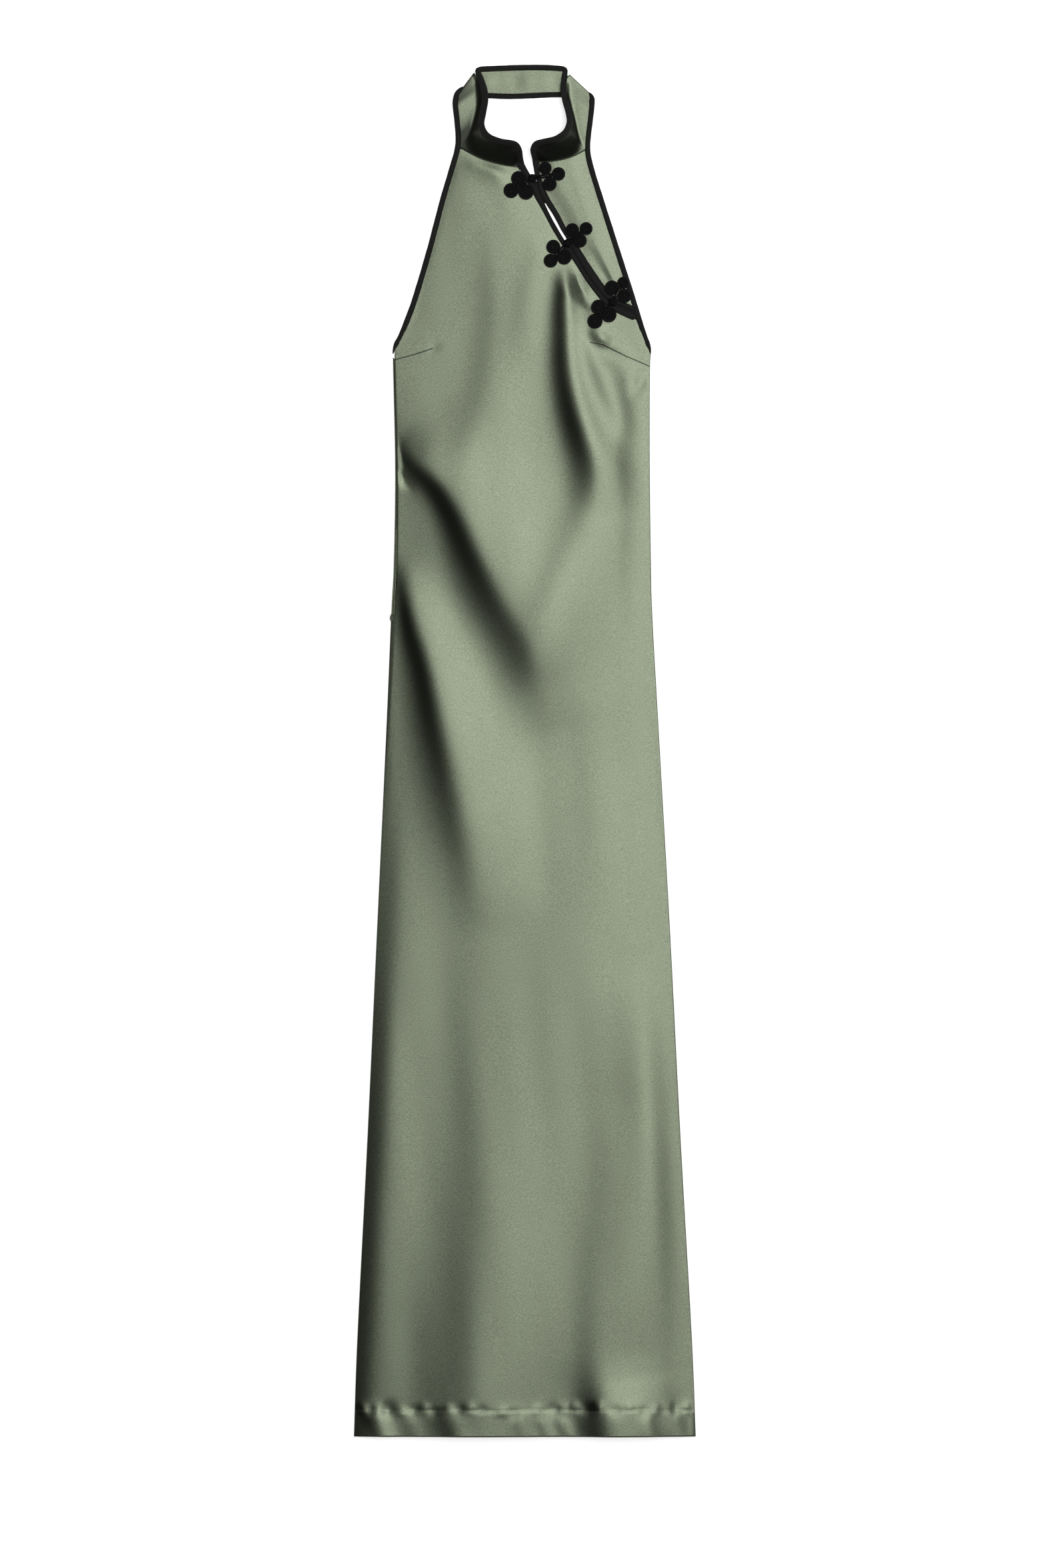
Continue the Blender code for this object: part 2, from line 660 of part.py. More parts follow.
def build_front(look):
    left, right = front_edges()
    share = sheet_columns(23)
    plan = left[:, None] * (1 - share)[None, :, None] + right[:, None] * share[None, :, None]
    neck = columns(NECK_SEAM_LEFT, "x y")
    neck_line = spline(neck[::-1] - [0.0, SEAM / 2], 60)
    top = resample(np.vstack([left[-1:], neck_line[1:-1], right[-1:]]), share)
    sag = top - plan[-1]
    rows = len(left)
    for back in range(4):
        plan[rows - 1 - back] += sag * (1.0 - back / 4.0) ** 1.5
    x, y = plan[..., 0], plan[..., 1]
    row_width = np.linalg.norm(right - left, axis=1)[:, None]
    from_left, from_right = share[None] * row_width, (1 - share)[None] * row_width
    from_side = np.minimum(from_left, from_right)
    from_top = np.linalg.norm(plan - plan[-1:], axis=2)
    edge = arch(from_left / LEFT_REACH, 3) * smoothstep(from_right / RIGHT_REACH)
    edge *= smoothstep(from_top / 10.0)
    folds = fold_rise(x, y, FOLDS, 2.0) + fold_rise(x, y, CRISP_FOLDS, CRISP)
    ripples = hem_rise(x, y) * smoothstep(from_side / 3.0)
    puff = BODICE_PUFF + (PUFF - BODICE_PUFF) * smoothstep((SIDE_POINT - y) / 140.0)
    filled = arch(from_side / np.minimum(PUFF_REACH, row_width * 0.45), 2) * smoothstep(from_top / 25.0)
    height = front_layer(y) + edge * folds + ripples + puff * filled
    return thick_sheet("front_panel", np.dstack([x, y, height + CLOTH / 2]), look)


def build_yoke(look):
    neck = spline(columns(NECK_SEAM_RIGHT, "x y") - [0.0, SEAM / 2], 40)
    opening = binding_edge(OPENING_YOKE, 1, OPENING_SECTIONS)[:, :2]
    opening = between_heights(opening, YOKE_TIP, neck[0, 1])[::-1]
    armhole = binding_edge(ARMHOLE_RIGHT, 1, ARMHOLE_SECTIONS)[:, :2]
    armhole = between_heights(armhole, YOKE_TIP + 2.5, neck[-1, 1])[::-1]
    left = opening
    right = resample(armhole, len(opening))
    share = np.linspace(0, 1, 8)
    plan = left[:, None] * (1 - share)[None, :, None] + right[:, None] * share[None, :, None]
    top = resample(np.vstack([left[:1], neck[1:-1], right[:1]]), share)
    sag = top - plan[0]
    for down in range(3):
        plan[down] += sag * (1.0 - down / 3.0)
    plan = plan[::-1]
    row_width = np.linalg.norm(right - left, axis=1)[::-1, None]
    from_side = np.minimum(share[None] * row_width, (1 - share)[None] * row_width)
    rise = YOKE_PUFF * smoothstep(from_side / 18.0)
    height = front_layer(plan[..., 1]) + rise
    return thick_sheet("yoke_panel", np.dstack([plan, height + CLOTH / 2]), look)


def build_back(look):
    """The back lies flat on the surface, up to the binding of its low neckline."""
    heights = np.concatenate([np.linspace(0, 940, 12), [1000, 1030, 1052]])
    left, right = side_edges(heights)
    neck = binding_edge(BACK_NECK, -1, NECK_SECTIONS)[:, :2]
    tip_left = np.array([left[-1] + 3.0, heights[-1]])
    tip_right = np.array([right[-1] - 3.0, heights[-1]])
    left_side = np.column_stack([left, heights])
    right_side = np.column_stack([right, heights])[::-1]
    outline = np.vstack([left_side, tip_left[None], neck, tip_right[None], right_side])
    count = len(outline)
    bottom = np.column_stack([outline, np.zeros(count)])
    top = bottom + [0.0, 0.0, CLOTH]
    faces = [tuple(range(count)), tuple(range(2 * count - 1, count - 1, -1))]
    for i in range(count):
        j = (i + 1) % count
        faces += [(j, i, i + count, j + count)]
    return mesh_object("back_panel", np.vstack([bottom, top]), faces, look)


def wing_surface(seam, armhole, top_binding, side, profile):
    """Half of the collar: a band whose lower edge follows the neck seam and then the armhole's binding.

    Its upper edge stands clear of the surface, and at the side of the neck it rolls over to meet the part of
    the band behind.
    """
    seam_line = spline(seam, 40) + [0.0, SEAM_RISE]
    arm = binding_edge(armhole, side, ARMHOLE_SECTIONS)[:, :2]
    arm = between_heights(arm, seam_line[-1, 1], profile["arm_end"])
    fold = columns(profile["fold"], "x y")
    inward = side * np.array([fold[0, 1] - fold[-1, 1], fold[-1, 0] - fold[0, 0]])
    inward = inward / np.linalg.norm(inward)
    radius = (FOLD_TOP - BODICE_LAYER - CLOTH / 2) / 2
    crest = fold + inward * radius
    lower = np.vstack([seam_line[:-1], arm, crest[:1]])
    upper = binding_edge(top_binding, side, COLLAR_SECTIONS, gap=SEAM + CLOTH / 2)[::-1]
    upper = between_heights(upper, seam_line[0, 1] + 1.6, profile["top_end"])
    upper = np.vstack([upper, [*crest[-1], upper[-1, 2]]])
    seam_line[0, 0] = upper[0, 0]
    lower[0] = seam_line[0]
    shares = length_shares(upper)
    corner = length_shares(lower)[len(seam_line) - 1]
    shares[np.argmin(abs(shares - corner))] = corner
    low = resample(lower, shares)
    low_z = np.interp(shares, profile["share"], profile["low_z"])
    high = upper[:, :2]
    high_z = upper[:, 2] + CLOTH / 2
    up = np.linspace(0, 1, 6)[:, None]
    plan = low * (1 - up)[..., None] + high * up[..., None]
    bow = np.interp(shares, profile["share"], profile["bow"])
    z = low_z * (1 - up) + high_z * up + bow * np.sin(math.pi * up)
    turn = smoothstep((shares - TURN_FROM) / (1.0 - TURN_FROM))
    z = z * (1 - turn) + FOLD_TOP * turn
    surface = np.dstack([plan, z])
    outermost = np.dstack([plan[:, -1:] - inward * radius, np.full((6, 1), FOLD_TOP - radius)])
    under = np.dstack([plan[:, -1:] + inward * FOLD_UNDER, np.full((6, 1), FOLD_TOP - 2 * radius)])
    return np.hstack([surface, outermost, under])


def build_collar(look):
    left_seam, right_seam = columns(NECK_SEAM_LEFT, "x y"), columns(NECK_SEAM_RIGHT, "x y")
    left = wing_surface(left_seam, ARMHOLE_LEFT, COLLAR_TOP_LEFT, -1, WING_LEFT)
    thick_sheet("collar_left", left[:, ::-1], look)
    right = wing_surface(right_seam, ARMHOLE_RIGHT, COLLAR_TOP_RIGHT, 1, WING_RIGHT)
    thick_sheet("collar_right", right, look)


def build_neckband(look):
    """The part of the collar band that lies behind, between the folds at the sides of the neck."""
    cols = 11
    lower = binding_edge(BAND_BOTTOM, 1, 120)[:, :2]
    upper = binding_edge(BAND_TOP, -1, 120)[:, :2]
    lower = resample(lower[(lower[:, 0] > BAND_BELOW[0]) & (lower[:, 0] < BAND_BELOW[1])], cols)
    upper = resample(upper[(upper[:, 0] > BAND_ABOVE[0]) & (upper[:, 0] < BAND_ABOVE[1])], cols)
    up = np.linspace(0, 1, 4)
    plan = lower[None] * (1 - up)[:, None, None] + upper[None] * up[:, None, None]
    z = BODICE_LAYER + CLOTH / 2 + np.zeros(plan.shape[:2])
    thick_sheet("neckband", np.dstack([plan, z]), look)


def build_bindings(look):
    ribbon("armhole_binding_left", ARMHOLE_LEFT, ARMHOLE_SECTIONS, look, cloth_side=-1)
    ribbon("armhole_binding_right", ARMHOLE_RIGHT, ARMHOLE_SECTIONS, look, cloth_side=1)
    ribbon("collar_binding_left", COLLAR_TOP_LEFT, COLLAR_SECTIONS, look, cloth_side=-1)
    ribbon("collar_binding_right", COLLAR_TOP_RIGHT, COLLAR_SECTIONS, look, cloth_side=1)
    ribbon("opening_binding_front", OPENING_FRONT, OPENING_SECTIONS, look, cloth_side=-1)
    ribbon("opening_binding_yoke", OPENING_YOKE, OPENING_SECTIONS, look, cloth_side=1)
    ribbon("neckband_binding_top", BAND_TOP, 12, look, cloth_side=-1)
    ribbon("neckband_binding_bottom", BAND_BOTTOM, 12, look, cloth_side=1)
    ribbon("back_neck_binding", BACK_NECK, NECK_SECTIONS, look, cloth_side=-1, thickness=CLOTH)


def build_zip(look):
    """The closed zip in the left side seam, which shows as a narrow lip beside the front."""
    heights = np.linspace(ZIP_TOP, ZIP_END, 14)
    outline, _ = side_edges(heights)
    inset = np.interp(heights, SEAM_INSET["y"], SEAM_INSET["inset"]) - SEAM
    middle = outline + inset / 2
    level = np.full(len(heights), LAYER)
    rows = {"x": middle, "y": heights, "width": inset, "cloth_z": level, "free_z": level}
    ribbon("side_zip", rows, len(heights), look, cloth_side=1, thickness=ZIP_THICKNESS)


def surface_top(names, x, y):
    """The highest of the named pieces at a point, in millimetres."""
    highest = 0.0
    graph = bpy.context.evaluated_depsgraph_get()
    for name in names:
        piece = bpy.data.objects[name].evaluated_get(graph)
        hit, place, _, _ = piece.ray_cast((x * MM, (y - LENGTH / 2) * MM, 1.0), (0, 0, -1))
        if hit:
            highest = max(highest, place.z / MM)
    return highest


def disc_points(x, y, radius):
    """Points of a disc at which to feel for what lies under it."""
    turns = np.linspace(0, 2 * math.pi, 12, endpoint=False)
    rings = [np.column_stack([x + r * np.cos(turns), y + r * np.sin(turns)]) for r in (0.5 * radius, radius)]
    return np.vstack([[[x, y]], *rings])


def resting_plane(names, coils, button):
    """The sloping plane z = a + b x + c y just clear of the named pieces under the coils and the stem."""
    middle = coils[:, :2].mean(axis=0)
    stem_spots = [middle + (button - middle) * share for share in (0.5, 0.7, 0.9)]
    stem = [disc_points(*spot, STEM_WIDTH / 2) for spot in stem_spots]
    spots = np.vstack([disc_points(*coil) for coil in coils] + stem)
    tops = np.array([surface_top(names, x, y) for x, y in spots])
    basis = np.column_stack([np.ones(len(spots)), spots])
    plane = np.linalg.lstsq(basis, tops, rcond=None)[0]
    plane[0] += (tops - basis @ plane).max() + SEAM
    return plane


def on_plane(plane, mesh):
    """The mesh raised on to a sloping plane."""
    points, faces = mesh
    points = np.array(points, float)
    points[:, 2] += plane[0] + points[:, :2] @ plane[1:]
    return points, faces


def coil_mesh(x, y, radius, z):
    """A flat coil of cord as a turned form with a ring-shaped hollow between its turns."""
    profile = [(0.93, 0.0), (1.0, 0.45), (0.86, 1.0), (0.64, 0.7), (0.4, 1.04)]
    points = []
    for across, high in profile:
        reach, level = across * radius, z + high * COIL_THICKNESS
        for turn in np.linspace(0, 2 * math.pi, COIL_SEGMENTS, endpoint=False):
            points.append((x + reach * math.cos(turn), y + reach * math.sin(turn), level))
    top = len(points)
    points.append((x, y, z + 0.86 * COIL_THICKNESS))
    faces = [tuple(range(COIL_SEGMENTS - 1, -1, -1))]
    for ring in range(len(profile) - 1):
        for j in range(COIL_SEGMENTS):
            a, b = ring * COIL_SEGMENTS + j, ring * COIL_SEGMENTS + (j + 1) % COIL_SEGMENTS
            faces.append((a, b, b + COIL_SEGMENTS, a + COIL_SEGMENTS))
    last = (len(profile) - 1) * COIL_SEGMENTS
    faces += [(last + j, last + (j + 1) % COIL_SEGMENTS, top) for j in range(COIL_SEGMENTS)]
    return points, faces


def plate_mesh(corners, z, thickness):
    """A flat plate with the given corners, which run anticlockwise."""
    count = len(corners)
    points = [(*c, z) for c in corners] + [(*c, z + thickness) for c in corners]
    faces = [tuple(range(count - 1, -1, -1)), tuple(range(count, 2 * count))]
    for i in range(count):
        j = (i + 1) % count
        faces.append((i, j, j + count, i + count))
    return points, faces


def stem_corners(start, end, width):
    """Corners of the short bar of doubled cord that runs from the coils to the button."""
    way = (end - start) / np.linalg.norm(end - start)
    out = np.array([-way[1], way[0]]) * width / 2
    return [start - out, end - out, end + out, start + out]


def anticlockwise(corners):
    middle = corners.mean(axis=0)
    angle = np.arctan2(corners[:, 1] - middle[1], corners[:, 0] - middle[0])
    return corners[np.argsort(angle)]


def join_with(base, guide):
    guide.hide_render = True
    guide.display_type = "WIRE"
    union = base.modifiers.new("join", "BOOLEAN")
    union.operation = "UNION"
    union.object = guide


def build_frogs(look):
    under = ["front_panel", "yoke_panel", "collar_left", "collar_right"]
    under += ["opening_binding_front", "opening_binding_yoke", "armhole_binding_right"]
    under += ["collar_binding_left", "collar_binding_right"]
    for number, (x, y) in enumerate(columns(FROG_BUTTONS, "x y"), start=1):
        button_z = max(surface_top(under, *spot) for spot in disc_points(x, y, 0.7 * BUTTON_RADIUS)) + SEAM
        for side in ("left", "right"):
            name = f"frog_{number}_{side}"
            coils = columns(FROG_COILS[name], "x y radius")
            plane = resting_plane(under, coils, np.array([x, y]))
            first = mesh_object(name, *on_plane(plane, coil_mesh(*coils[0], 0.0)), look)
            for index, coil in enumerate(coils[1:], start=2):
                other = on_plane(plane, coil_mesh(*coil, COIL_STEP * index))
                join_with(first, mesh_object(f"{name}_coil_{index}", *other, look))
            hub = on_plane(plane, plate_mesh(anticlockwise(coils[:, :2]), HUB_LIFT, HUB_THICKNESS))
            join_with(first, mesh_object(f"{name}_hub", *hub, look))
            middle = coils[:, :2].mean(axis=0)
            toward = np.array([x, y]) - middle
            reach = np.linalg.norm(toward)
            end = middle + toward * (reach - BUTTON_RADIUS - 2 * SEAM) / reach
            corners = stem_corners(middle, end, STEM_WIDTH)
            stem = on_plane(plane, plate_mesh(corners, 2 * HUB_LIFT, HUB_THICKNESS))
            join_with(first, mesh_object(f"{name}_stem", *stem, look))
            button_z = max(button_z, plane[0] + end @ plane[1:])
        build_button(f"frog_{number}_button", x, y, button_z, look)


def build_button(name, x, y, z, look):
    """A knotted ball of cord, a little flattened."""
    segments, rings = 12, 6
    half_height = BUTTON_RADIUS * BUTTON_SQUASH
    points = [(x, y, z)]
    for i in range(1, rings):
        angle = math.pi * i / rings
        across = BUTTON_RADIUS * math.sin(angle)
        high = half_height * (1 - math.cos(angle))
        for turn in np.linspace(0, 2 * math.pi, segments, endpoint=False):
            points.append((x + across * math.cos(turn), y + across * math.sin(turn), z + high))
    points.append((x, y, z + 2 * half_height))
    faces = [(0, 1 + (j + 1) % segments, 1 + j) for j in range(segments)]
    for i in range(rings - 2):
        for j in range(segments):
            a, b = 1 + i * segments + j, 1 + i * segments + (j + 1) % segments
            faces.append((a, b, b + segments, a + segments))
    base = 1 + (rings - 2) * segments
    faces += [(base + j, base + (j + 1) % segments, len(points) - 1) for j in range(segments)]
    return mesh_object(name, points, faces, look)


def main():
    clear_scene()
    build_back(SATIN)
    build_front(SATIN)
    build_yoke(SATIN)
    build_collar(SATIN)
    build_neckband(SATIN)
    build_bindings(TRIM)
    build_zip(SATIN)
    build_frogs(CORD)


main()
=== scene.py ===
import math

import bmesh
import bpy
import numpy as np
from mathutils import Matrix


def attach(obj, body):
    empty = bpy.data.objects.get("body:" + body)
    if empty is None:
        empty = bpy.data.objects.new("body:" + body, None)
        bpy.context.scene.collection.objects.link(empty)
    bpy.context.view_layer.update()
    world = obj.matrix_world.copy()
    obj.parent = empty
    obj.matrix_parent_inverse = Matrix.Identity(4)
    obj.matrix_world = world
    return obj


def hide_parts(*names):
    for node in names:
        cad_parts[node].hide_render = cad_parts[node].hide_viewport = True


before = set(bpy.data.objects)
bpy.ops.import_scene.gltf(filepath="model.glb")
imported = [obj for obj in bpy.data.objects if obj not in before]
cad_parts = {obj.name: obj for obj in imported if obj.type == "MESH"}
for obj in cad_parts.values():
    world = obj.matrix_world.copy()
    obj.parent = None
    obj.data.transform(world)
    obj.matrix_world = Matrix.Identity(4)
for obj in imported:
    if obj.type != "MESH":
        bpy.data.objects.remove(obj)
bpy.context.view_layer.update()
print("model loaded")

# All tables are in millimetres on the garment as it lies: x to the right of the middle, y up from the hem,
# z up from the surface. The scene is in metres with its origin at the middle of the footprint.
mm = 0.001
middleHeight = 668.7
# The satin's colour is darkened with painted shade where its folds rise this way, to the right and the
# collar, as in the photograph. It stays there when the light or the part is turned.
shadeToward = (0.92, 0.39)
patternReach = 400.0  # millimetres of cord or binding for one whole step of its UV map
sharpAngle = 60.0  # edges that bend more than this are drawn sharp


def place(points):
    return (np.asarray(points, float) - [0.0, middleHeight, 0.0]) * mm


def smoothstep(value):
    value = np.clip(value, 0.0, 1.0)
    return value * value * (3.0 - 2.0 * value)


def arch(value, power):
    # rises steeply from 0 and levels out at 1
    return 1.0 - (1.0 - np.clip(value, 0.0, 1.0)) ** power


def unit(vectors):
    return vectors / np.linalg.norm(vectors, axis=-1, keepdims=True)


def lengthsAlong(points):
    # distance in plan from the first point to each of the others
    return np.concatenate([[0.0], np.cumsum(np.linalg.norm(np.diff(points[:, :2], axis=0), axis=1))])


def spaced(points, samples):
    # the line again at even steps of its length, or at the given shares of it
    along = lengthsAlong(points)
    wanted = np.linspace(0.0, 1.0, samples) if np.isscalar(samples) else np.asarray(samples)
    return np.stack([np.interp(wanted * along[-1], along, column) for column in points.T], axis=1)


def smoothCurve(rows, samples):
    # Catmull-Rom, for each four rows a to d:
    # half of (2 b + (c - a) u + (2 a - 5 b + 4 c - d) u^2 + (3 b - a - 3 c + d) u^3)
    p = np.asarray(rows, float)
    held = np.vstack([2 * p[0] - p[1], p, 2 * p[-1] - p[-2]])
    u = np.linspace(0, 1, 16, endpoint=False)[None, :, None]
    a, b, c, d = (held[i : len(held) - 3 + i, None, :] for i in range(4))
    fine = 0.5 * (2 * b + (c - a) * u + (2 * a - 5 * b + 4 * c - d) * u**2 + (3 * b - a - 3 * c + d) * u**3)
    return spaced(np.vstack([fine.reshape(-1, p.shape[1]), p[-1:]]), samples)


def leftNormals(line):
    # unit vectors in plan to the left of the way that a line runs
    way = unit(np.gradient(line[:, :2], axis=0))
    return np.stack([-way[:, 1], way[:, 0]], axis=1)


def betweenHeights(points, low, high):
    # the part of a rising line between two heights
    points = points[np.argsort(points[:, 1])]
    ends = [np.array([np.interp(y, points[:, 1], column) for column in points.T]) for y in (low, high)]
    inside = points[(points[:, 1] > low + 0.5) & (points[:, 1] < high - 0.5)]
    return np.vstack([ends[0], inside, ends[1]])


def gridBetween(left, right, share):
    # a grid from each point of one line to its fellow on the other: left * (1 - share) + right * share
    return left[:, None] * (1 - share)[None, :, None] + right[:, None] * share[None, :, None]


def bendTop(plan, top, rows, power):
    # moves the highest row of a grid to the line given, and the rows below it less and less
    bend = 1.0 - np.arange(rows) / rows
    plan[: -rows - 1 : -1] += (top - plan[-1])[None] * (bend**power)[:, None, None]


def ripple(value, *waves):
    # sum of amount * sin(2 pi value / length + phase) over rows of length, phase and amount
    return sum(amount * np.sin(2 * math.pi * value / length + phase) for length, phase, amount in waves)


def gridFaces(rows, cols, wrap=False, first=0):
    # corners of the four-sided faces of a grid, and the share of the grid at each corner
    i = np.arange(rows - 1)[:, None]
    j = np.arange(cols if wrap else cols - 1)[None]
    nextJ = (j + 1) % cols
    corners = (i * cols + j, i * cols + nextJ, (i + 1) * cols + nextJ, (i + 1) * cols + j)
    faces = np.stack(np.broadcast_arrays(*corners), -1)
    across = np.stack(np.broadcast_arrays(j, j + 1, j + 1, j), -1) / (cols if wrap else cols - 1)
    along = np.stack(np.broadcast_arrays(i, i, i + 1, i + 1), -1)
    shape = faces.shape
    across = np.broadcast_to(across, shape).reshape(-1, 4)
    along = np.broadcast_to(along, shape).reshape(-1, 4)
    return faces.reshape(-1, 4) + first, across, along


def makePiece(name, points, faces, uv, finish, closed=False):
    # points in millimetres, faces as lists of corners, uv as one row for each corner of each face
    mesh = bpy.data.meshes.new(name)
    mesh.from_pydata(place(points).tolist(), [], faces)
    layer = mesh.uv_layers.new(name="pattern")
    layer.data.foreach_set("uv", np.asarray(uv, np.float32).ravel())
    if closed:
        work = bmesh.new()
        work.from_mesh(mesh)
        bmesh.ops.recalc_face_normals(work, faces=work.faces[:])
        work.to_mesh(mesh)
        work.free()
    mesh.materials.append(finish)
    mesh.shade_smooth()
    mesh.set_sharp_from_angle(angle=math.radians(sharpAngle))
    piece = bpy.data.objects.new(name, mesh)
    bpy.context.scene.collection.objects.link(piece)
    return piece


def gridNormals(grid):
    return np.cross(np.gradient(grid, axis=1), np.gradient(grid, axis=0))


def slopes(grid, toward=None):
    # how steeply a grid rises: in any direction, or towards the one that is given as x and y
    normal = gridNormals(grid)
    steepest = 0.05 * np.linalg.norm(normal, axis=2, keepdims=True)
    rise = -normal[..., :2] / np.maximum(normal[..., 2:], steepest)
    return np.linalg.norm(rise, axis=2) if toward is None else rise @ np.array(toward)


def clothSheet(name, top, finish, thickness, slope=None):
    # a wall of even thickness under a grid whose columns run right and rows run up;
    # the attribute "steep" holds the slopes of its folds, which the satin's finish turns into painted shade
    rows, cols, _ = top.shape
    faces, across, along = gridFaces(rows, cols)
    uv = np.stack([across, along / (rows - 1)], -1).reshape(-1, 2)
    piece = makePiece(name, top.reshape(-1, 3), faces.tolist(), uv, finish)
    steep = slopes(top, shadeToward) if slope is None else slope
    attribute = piece.data.attributes.new("steep", "FLOAT", "POINT")
    attribute.data.foreach_set("value", steep.astype(np.float32).ravel())
    wall = piece.modifiers.new("wall", "SOLIDIFY")
    wall.thickness = thickness * mm
    wall.offset = -1.0
    return piece


def roundForm(paths, rings):
    # closed tubes: each path's points carry a ring of points, and a middle point closes each end
    points, faces, uv, count = [], [], [], 0
    for path, ring in zip(paths, rings):
        rows, cols, _ = ring.shape
        sides, across, along = gridFaces(rows, cols, wrap=True, first=count)
        steps = np.linalg.norm(np.diff(path, axis=0), axis=1)
        reach = np.concatenate([[0.0], np.cumsum(steps)]) / patternReach
        points += [ring.reshape(-1, 3), ring[0].mean(axis=0)[None], ring[-1].mean(axis=0)[None]]
        faces += sides.tolist()
        uv.append(np.stack([across, reach[along]], -1).reshape(-1, 2))
        j = np.arange(cols)
        nextJ = (j + 1) % cols
        pole = count + rows * cols
        last = count + (rows - 1) * cols
        faces += np.stack([count + nextJ, count + j, np.full(cols, pole)], -1).tolist()
        faces += np.stack([last + j, last + nextJ, np.full(cols, pole + 1)], -1).tolist()
        uv += [np.zeros((3 * cols, 2)), np.zeros((3 * cols, 2))]
        count += rows * cols + 2
    return np.vstack(points), faces, np.vstack(uv)


def circles(side, high, count):
    # cos t * side + sin t * high at even steps of t, for each pair of vectors
    t = np.linspace(0, 2 * math.pi, count, endpoint=False)
    return np.cos(t)[None, :, None] * side[:, None] + np.sin(t)[None, :, None] * high[:, None]


def cordRing(path, up, radius, sides):
    # a circle about each point of the path, square to the path
    way = unit(np.gradient(path, axis=0))
    side = unit(np.cross(way, up))
    radius = np.broadcast_to(radius, len(path))[:, None, None]
    return path[:, None] + radius * circles(side, np.cross(side, way), sides)


def trim(piece):
    # a piece that the model has no node for
    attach(piece, "root")
    return piece


def dress(piece, node):
    # a piece that stands for a node of the model
    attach(piece, "root")
    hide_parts(node)
    return piece


# Materials


class Value:
    # a socket's result, which takes part in Python expressions through Math nodes
    def __init__(self, finish, socket):
        self.finish = finish
        self.socket = socket

    def math(self, operation, *values):
        return self.finish.node("ShaderNodeMath", {"operation": operation}, dict(enumerate(values)))

    def __add__(self, other):
        return self.math("ADD", self, other)

    def __radd__(self, other):
        return self.math("ADD", other, self)

    def __sub__(self, other):
        return self.math("SUBTRACT", self, other)

    def __rsub__(self, other):
        return self.math("SUBTRACT", other, self)

    def __mul__(self, other):
        return self.math("MULTIPLY", self, other)

    def __abs__(self):
        return self.math("ABSOLUTE", self)

    def ramp(self, low, high, first, last):
        settings = {"data_type": "FLOAT", "interpolation_type": "SMOOTHSTEP"}
        ends = {"From Min": low, "From Max": high, "To Min": first, "To Max": last}
        return self.finish.node("ShaderNodeMapRange", settings, {"Value": self, **ends})

    def within(self, width):
        # 1 where the value is 0, falling to 0 where it reaches the width
        return abs(self).ramp(0.0, width, 1.0, 0.0)

    def above(self, low, high):
        # 0 below low and 1 above high
        return self.ramp(low, high, 0.0, 1.0)


class Finish:
    # one material: its shader's fixed values, and nodes that are added by type
    def __init__(self, name, **fixed):
        self.material = bpy.data.materials.new(name)
        self.material.use_nodes = True
        self.tree = self.material.node_tree
        self.shader = self.tree.nodes["Principled BSDF"]
        for socket, value in fixed.items():
            self.shader.inputs[socket.replace("_", " ")].default_value = value

    def node(self, kind, settings, values, output=0):
        made = self.tree.nodes.new(kind)
        for setting, value in settings.items():
            setattr(made, setting, value)
        for socket, value in values.items():
            self.feed(made.inputs[socket], value)
        return Value(self, made.outputs[output])

    def feed(self, socket, value):
        if isinstance(value, Value):
            self.tree.links.new(value.socket, socket)
        else:
            socket.default_value = value

    def link(self, **results):
        for socket, value in results.items():
            self.feed(self.shader.inputs[socket.replace("_", " ")], value)

    def apart(self, vector):
        # the x and y of a vector
        split = self.node("ShaderNodeSeparateXYZ", {}, {0: vector})
        return [Value(self, split.socket.node.outputs[i]) for i in range(2)]

    def place(self):
        # object coordinates in metres
        return self.node("ShaderNodeTexCoord", {}, {}, "Object")

    def noise(self, spot, scale, detail, rough):
        values = {"Vector": spot, "Scale": scale, "Detail": detail, "Roughness": rough}
        return self.node("ShaderNodeTexNoise", {}, values)

    def mix(self, share, first, second):
        # colours go through a Mix node
        made = self.tree.nodes.new("ShaderNodeMix")
        made.data_type = "RGBA"
        self.feed(made.inputs[0], share)
        self.feed(made.inputs[6], first)
        self.feed(made.inputs[7], second)
        return Value(self, made.outputs[2])

    def bump(self, height, strength, distance):
        values = {"Height": height, "Strength": strength, "Distance": distance}
        return self.node("ShaderNodeBump", {}, values)


satin = {
    "shade": (0.115, 0.134, 0.092, 1.0),
    "light": (0.238, 0.272, 0.191, 1.0),
    # painted shade: the near-black colour that the folds' sides are darkened to, the slopes over which it
    # comes in, and its greatest share
    "paintedFoldShade": (0.009, 0.0105, 0.0075, 1.0),
    "paintedShadeSlopes": (0.06, 0.34),  # slopes between which the folds' sides grow darker
    "paintedShadeStrength": 0.92,
    "seamShade": (0.018, 0.021, 0.015, 1.0),
    "metallic": 0.75,
    "sheen": 0.12,
    "sheenRoughness": 0.4,
    "roughness": 0.36,
    "roughnessSpread": 0.12,
    # scale, detail and roughness of each noise
    "stipple": (850.0, 3.0, 0.75),
    "grain": (1900.0, 1.0, 0.5),
    "cloud": (14.0, 3.0, 0.55),
    "stippleShare": 2.6,
    "cloudShare": 0.2,
    "toneStart": 0.9,
    "grainDepth": 0.00008,
    "grainStrength": 0.35,
    "seamCover": 0.85,
    "seamDepth": 4.0,
}
dartLines = [  # start, end and half-width of each dart's seam, in millimetres
    ((-127.5, 1049.4), (-108, 1054.6), 0.5),
    ((-108, 1054.6), (-90, 1060.6), 0.6),
    ((122.5, 1042.6), (101, 1051.9), 0.5),
    ((101, 1051.9), (76.3, 1064.5), 0.6),
    ((76.3, 1064.5), (64, 1066.5), 0.45),
]


